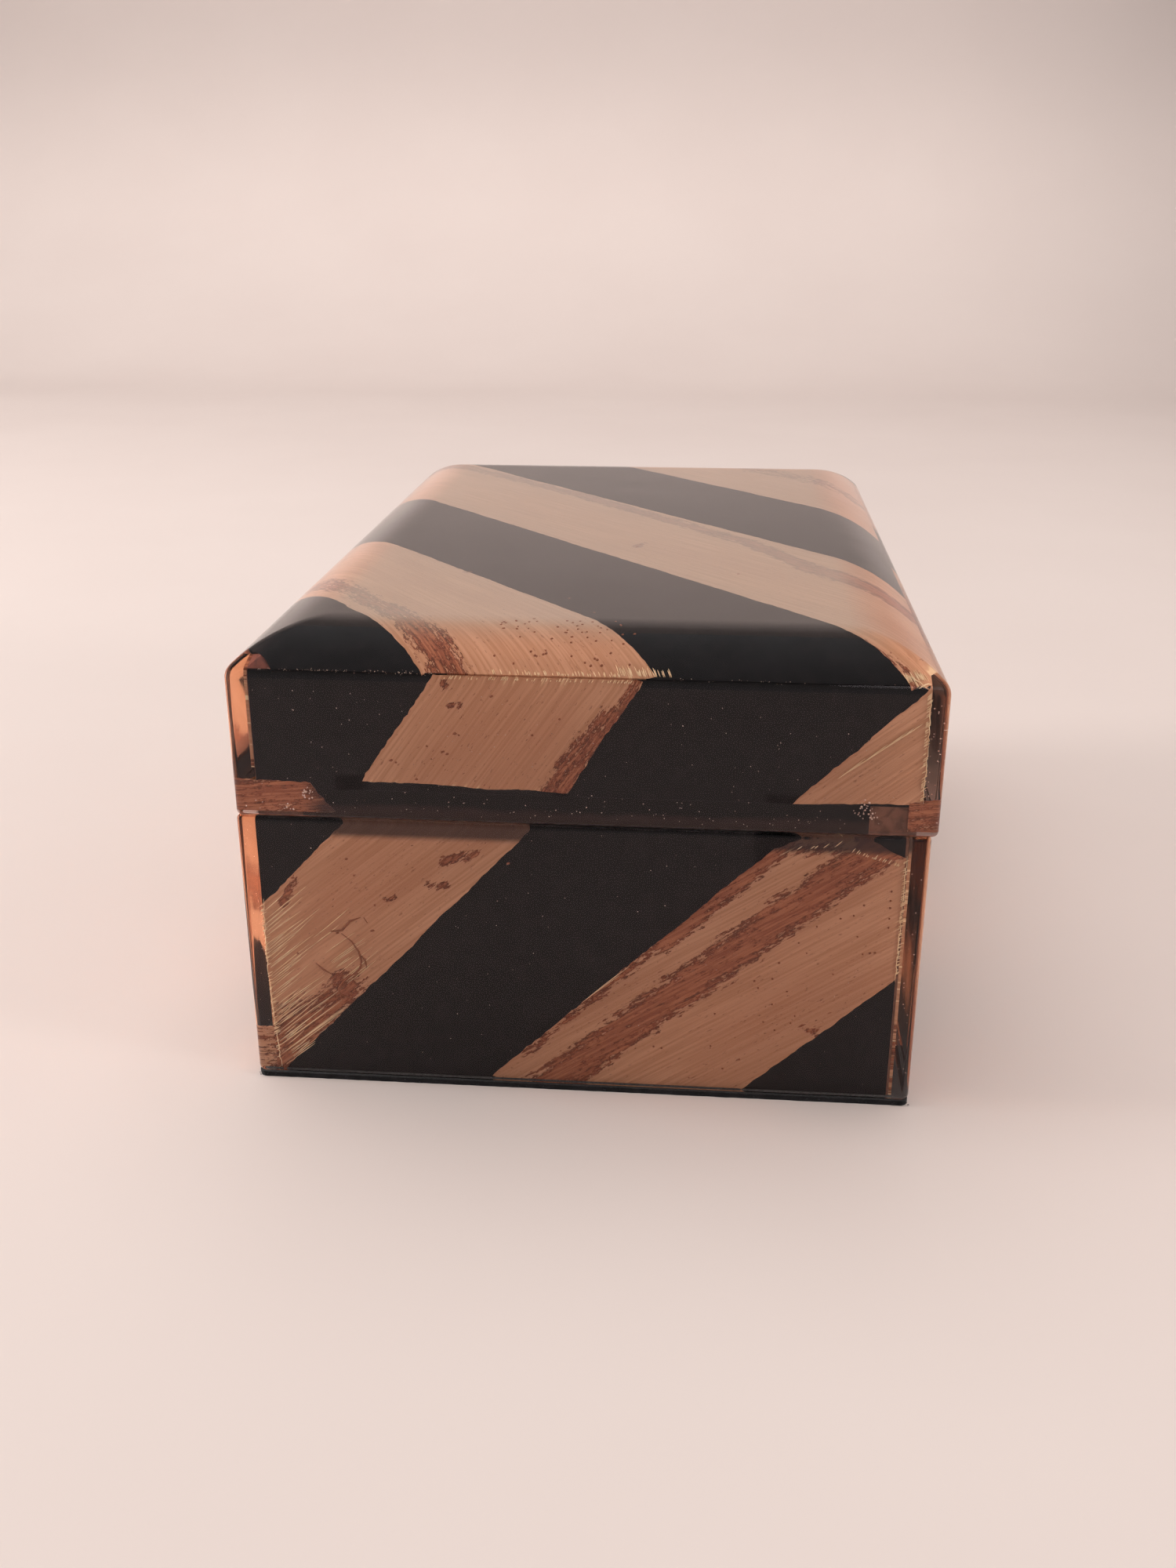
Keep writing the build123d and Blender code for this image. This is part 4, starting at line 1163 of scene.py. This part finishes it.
# The linings of each half, in mm: the boards' inner faces across the box and half of their distance
# along it, the heights between which the walls are lined, and the level lining: its name, its height
# and the board that it is glued to.
felt = 1.0                      # thickness of the linings
underside_top = 0.82            # the felt underneath is pressed a little into the resin above it
halves = {
    "base": {"across": (-42.0, 40.95), "along": 68.5, "walls": (6.8, 43.85),
             "level": ("floor", 5.8, "base_bottom_board")},
    "lid": {"across": (-41.75, 41.75), "along": 69.0, "walls": (45.15, 59.5),
            "level": ("ceiling", 59.5, "lid_top_board")},
}
lining_rounding = 0.2
fluff_height = 0.12             # how far the cut edges underneath are fluffy, in waves of 1.5 mm
fluff_wave = 1.5
edge_reach = 0.6                # what lies no further than this from a side belongs to that edge
felts = [("underside_felt_sheet", "underside_felt", "base", (base_sides[0] + felt_inset, foot_y, 0.0),
          (base_sides[1] - felt_inset, -foot_y, underside_top), "base_bottom_board")]
for body, sizes in halves.items():
    (west, east), along, (foot, head) = sizes["across"], sizes["along"], sizes["walls"]
    name, z, board = sizes["level"]
    felts.append((f"{body}_{name}_felt", f"{body}_{name}_lining", body, (west, -along, z),
                  (east, along, z + felt), board))
    for side, low, high in (
            ("near_end", (west, -along, foot), (east, felt - along, head)),
            ("far_end", (west, along - felt, foot), (east, along, head)),
            ("hinge_side", (west, felt - along, foot), (west + felt, along - felt, head)),
            ("opening_side", (east - felt, felt - along, foot), (east, along - felt, head))):
        felts.append((f"{body}_{side}_felt", f"{body}_{side}_lining", body, low, high,
                      f"{body}_{side}_board"))
for name, node, body, low, high, board in felts:
    under = node == "underside_felt"
    sheet = start_block(name, low, high, corner_rounding if under else 0)
    if under:
        select_edges(lambda a, b: (a - b).xy.length < 0.01)
        bpy.ops.mesh.subdivide(number_cuts=3)
        select_edges(lambda a, b: (a - b).length > 20)
        bpy.ops.mesh.subdivide(number_cuts=120)
        mesh = bmesh.from_edit_mesh(sheet.data)
        for point in mesh.verts:
            fluffy = fluff_height * MM * noise.noise(point.co / (fluff_wave * MM))
            x, y = point.co.x / MM, point.co.y / MM
            if min(abs(x - low[0]), abs(x - high[0])) < edge_reach:
                point.co.x += math.copysign(fluffy, x)
            if min(abs(y - low[1]), abs(y - high[1])) < edge_reach:
                point.co.y += math.copysign(fluffy, y)
        bmesh.update_edit_mesh(sheet.data)
    else:
        bevel_edges(lambda a, b: True, lining_rounding, 2)
    bpy.ops.object.mode_set(mode="OBJECT")
    wear(sheet, felt_black)
    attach(sheet, body)
    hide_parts(node)
    sizes = sorted((b - a) * MM for a, b in zip(low, high))


# ---- Floor, light and camera ---------------------------------------------------------------------
# A pale paper sweep, a large soft light overhead and two lower ones at the sides, faint light from
# in front, and a pale room all round.
paper = new_material("pale_matt_paper")
place = add_node(paper, "TexCoord")
mottle = add_node(paper, "TexNoise", {"Vector": place.outputs["Object"], "Scale": 9.0, "Detail": 6.0})
paper_colour = add_node(paper, "Mix", {FACTOR: mottle, UNDER: "#ead8d0", OVER: "#f1e0d8"},
                        data_type="RGBA")
# Painted shade: the paper is drawn darker and greyer towards its top and its right edge, where less light
# falls on it.
height = add_node(paper, "SeparateXYZ", {0: place.outputs["Object"]})
risen = add_node(paper, "MapRange",
                 {"Value": height.outputs["Z"], "From Min": 0.1, "From Max": 0.32, "To Max": 0.4},
                 interpolation_type="SMOOTHSTEP")
rightward = add_node(paper, "MapRange",
                     {"Value": height.outputs["X"], "From Min": 0.15, "From Max": 0.6, "To Max": 0.35},
                     interpolation_type="SMOOTHSTEP")
painted_backdrop_shade = add_node(paper, "Math", {0: risen, 1: rightward}, operation="ADD")
backdrop_shaded_colour = add_node(paper, "Mix", {FACTOR: painted_backdrop_shade, UNDER: paper_colour, OVER: "#9c8f8b"},
                        data_type="RGBA")
surface = add_node(paper, "BsdfPrincipled",
                   {"Base Color": backdrop_shaded_colour, "Roughness": 0.9, "Specular IOR Level": 0.1})
add_node(paper, "OutputMaterial", {"Surface": surface})

sweep_size = 3.0
sweep_turn_y = 0.8              # metres behind the box's middle, where the paper starts to rise
sweep_radius = 0.5
sweep_rise = 1.0
bpy.ops.object.select_all(action="DESELECT")
bpy.ops.mesh.primitive_plane_add(size=sweep_size, location=(0, sweep_turn_y - sweep_size / 2, 0))
sweep = bpy.context.object
sweep.name = "paper_sweep"
bpy.ops.object.transform_apply(location=True, rotation=False, scale=True)
bpy.ops.object.mode_set(mode="EDIT")
select_edges(lambda a, b: min(a.y, b.y) > 0)
bpy.ops.mesh.spin(steps=24, angle=-math.pi / 2, center=(0, sweep_turn_y, sweep_radius), axis=(1, 0, 0))
bpy.ops.mesh.extrude_region_move(TRANSFORM_OT_translate={"value": (0, 0, sweep_rise)})
bpy.ops.object.mode_set(mode="OBJECT")
bpy.ops.object.shade_smooth()
wear(sweep, paper)
sweep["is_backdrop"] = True

# The room is pale behind the box and at table height, and dimmer overhead and in front.
world = bpy.data.worlds.new("pale_room")
bpy.context.scene.world = world
world.use_nodes = True
world.node_tree.nodes.clear()
toward = add_node(world, "TexCoord")
split = add_node(world, "SeparateXYZ", {0: toward.outputs["Generated"]})
overhead = add_node(world, "MapRange",
                    {"Value": split.outputs["Z"], "From Min": 0.15, "From Max": 0.8, "To Min": 0.8,
                     "To Max": 0.3},
                    interpolation_type="SMOOTHSTEP")
in_front = add_node(world, "MapRange",
                    {"Value": split.outputs["Y"], "From Min": -0.6, "From Max": 0.5, "To Min": 0.6},
                    interpolation_type="SMOOTHSTEP")
brightness = add_node(world, "Math", {0: overhead, 1: in_front}, operation="MULTIPLY")
walls = add_node(world, "Background", {"Color": "#ffffff", "Strength": brightness})
add_node(world, "OutputWorld", {"Surface": walls})


def soft_light(name, place, target, size, power, colour, mirrored):
    """A round soft lamp at a place, turned to a target; mirrored says whether gloss shows it."""
    data = bpy.data.lights.new(name, "AREA")
    data.shape = "DISK"
    data.size = size
    data.energy = power
    data.color = linear(colour)[:3]
    light = bpy.data.objects.new(name, data)
    light.location = place
    light.visible_glossy = mirrored
    light.rotation_euler = (Vector(target) - Vector(place)).to_track_quat("-Z", "Y").to_euler()
    bpy.context.scene.collection.objects.link(light)


# Each lamp's place, target and width are in metres and its power is in watts.
soft_light("overhead_light", (-0.2, 0.25, 1.3), (0, 0, 0), 1.6, 10.4, "#ffffff", False)
soft_light("window_light", (-1.1, -0.05, 0.16), (0, 0, 0.03), 0.28, 13.6, "#ffffff", False)
soft_light("side_light", (1.0, -0.3, 0.16), (0, 0, 0.03), 0.28, 4.8, "#ffffff", False)
soft_light("gloss_light", (0.35, -0.75, 0.75), (0, 0, 0.03), 0.4, 0.6, "#ffffff", True)
soft_light("front_light", (0.1, -1.2, 0.2), (0, 0, 0.03), 0.8, 1.0, "#fff0e2", False)

# The camera stands close to the near end, a little to the right of the middle, and looks down on it.
lens = bpy.data.cameras.new("camera")
lens.lens = 34.151
lens.clip_start = 0.01
camera = bpy.data.objects.new("camera", lens)
camera.location = (17.64 * MM, -273.69 * MM, 128.56 * MM)
camera.rotation_euler = (math.radians(90 - 21.475), 0, math.radians(4.84))
bpy.context.scene.collection.objects.link(camera)
bpy.context.scene.camera = camera
bpy.context.scene.view_settings.view_transform = "Standard"


# ---- Size and finish -----------------------------------------------------------------------------
visual_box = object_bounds()
sizes = {"cad": [list(corner) for corner in cad_box], "visual": [list(corner) for corner in visual_box]}
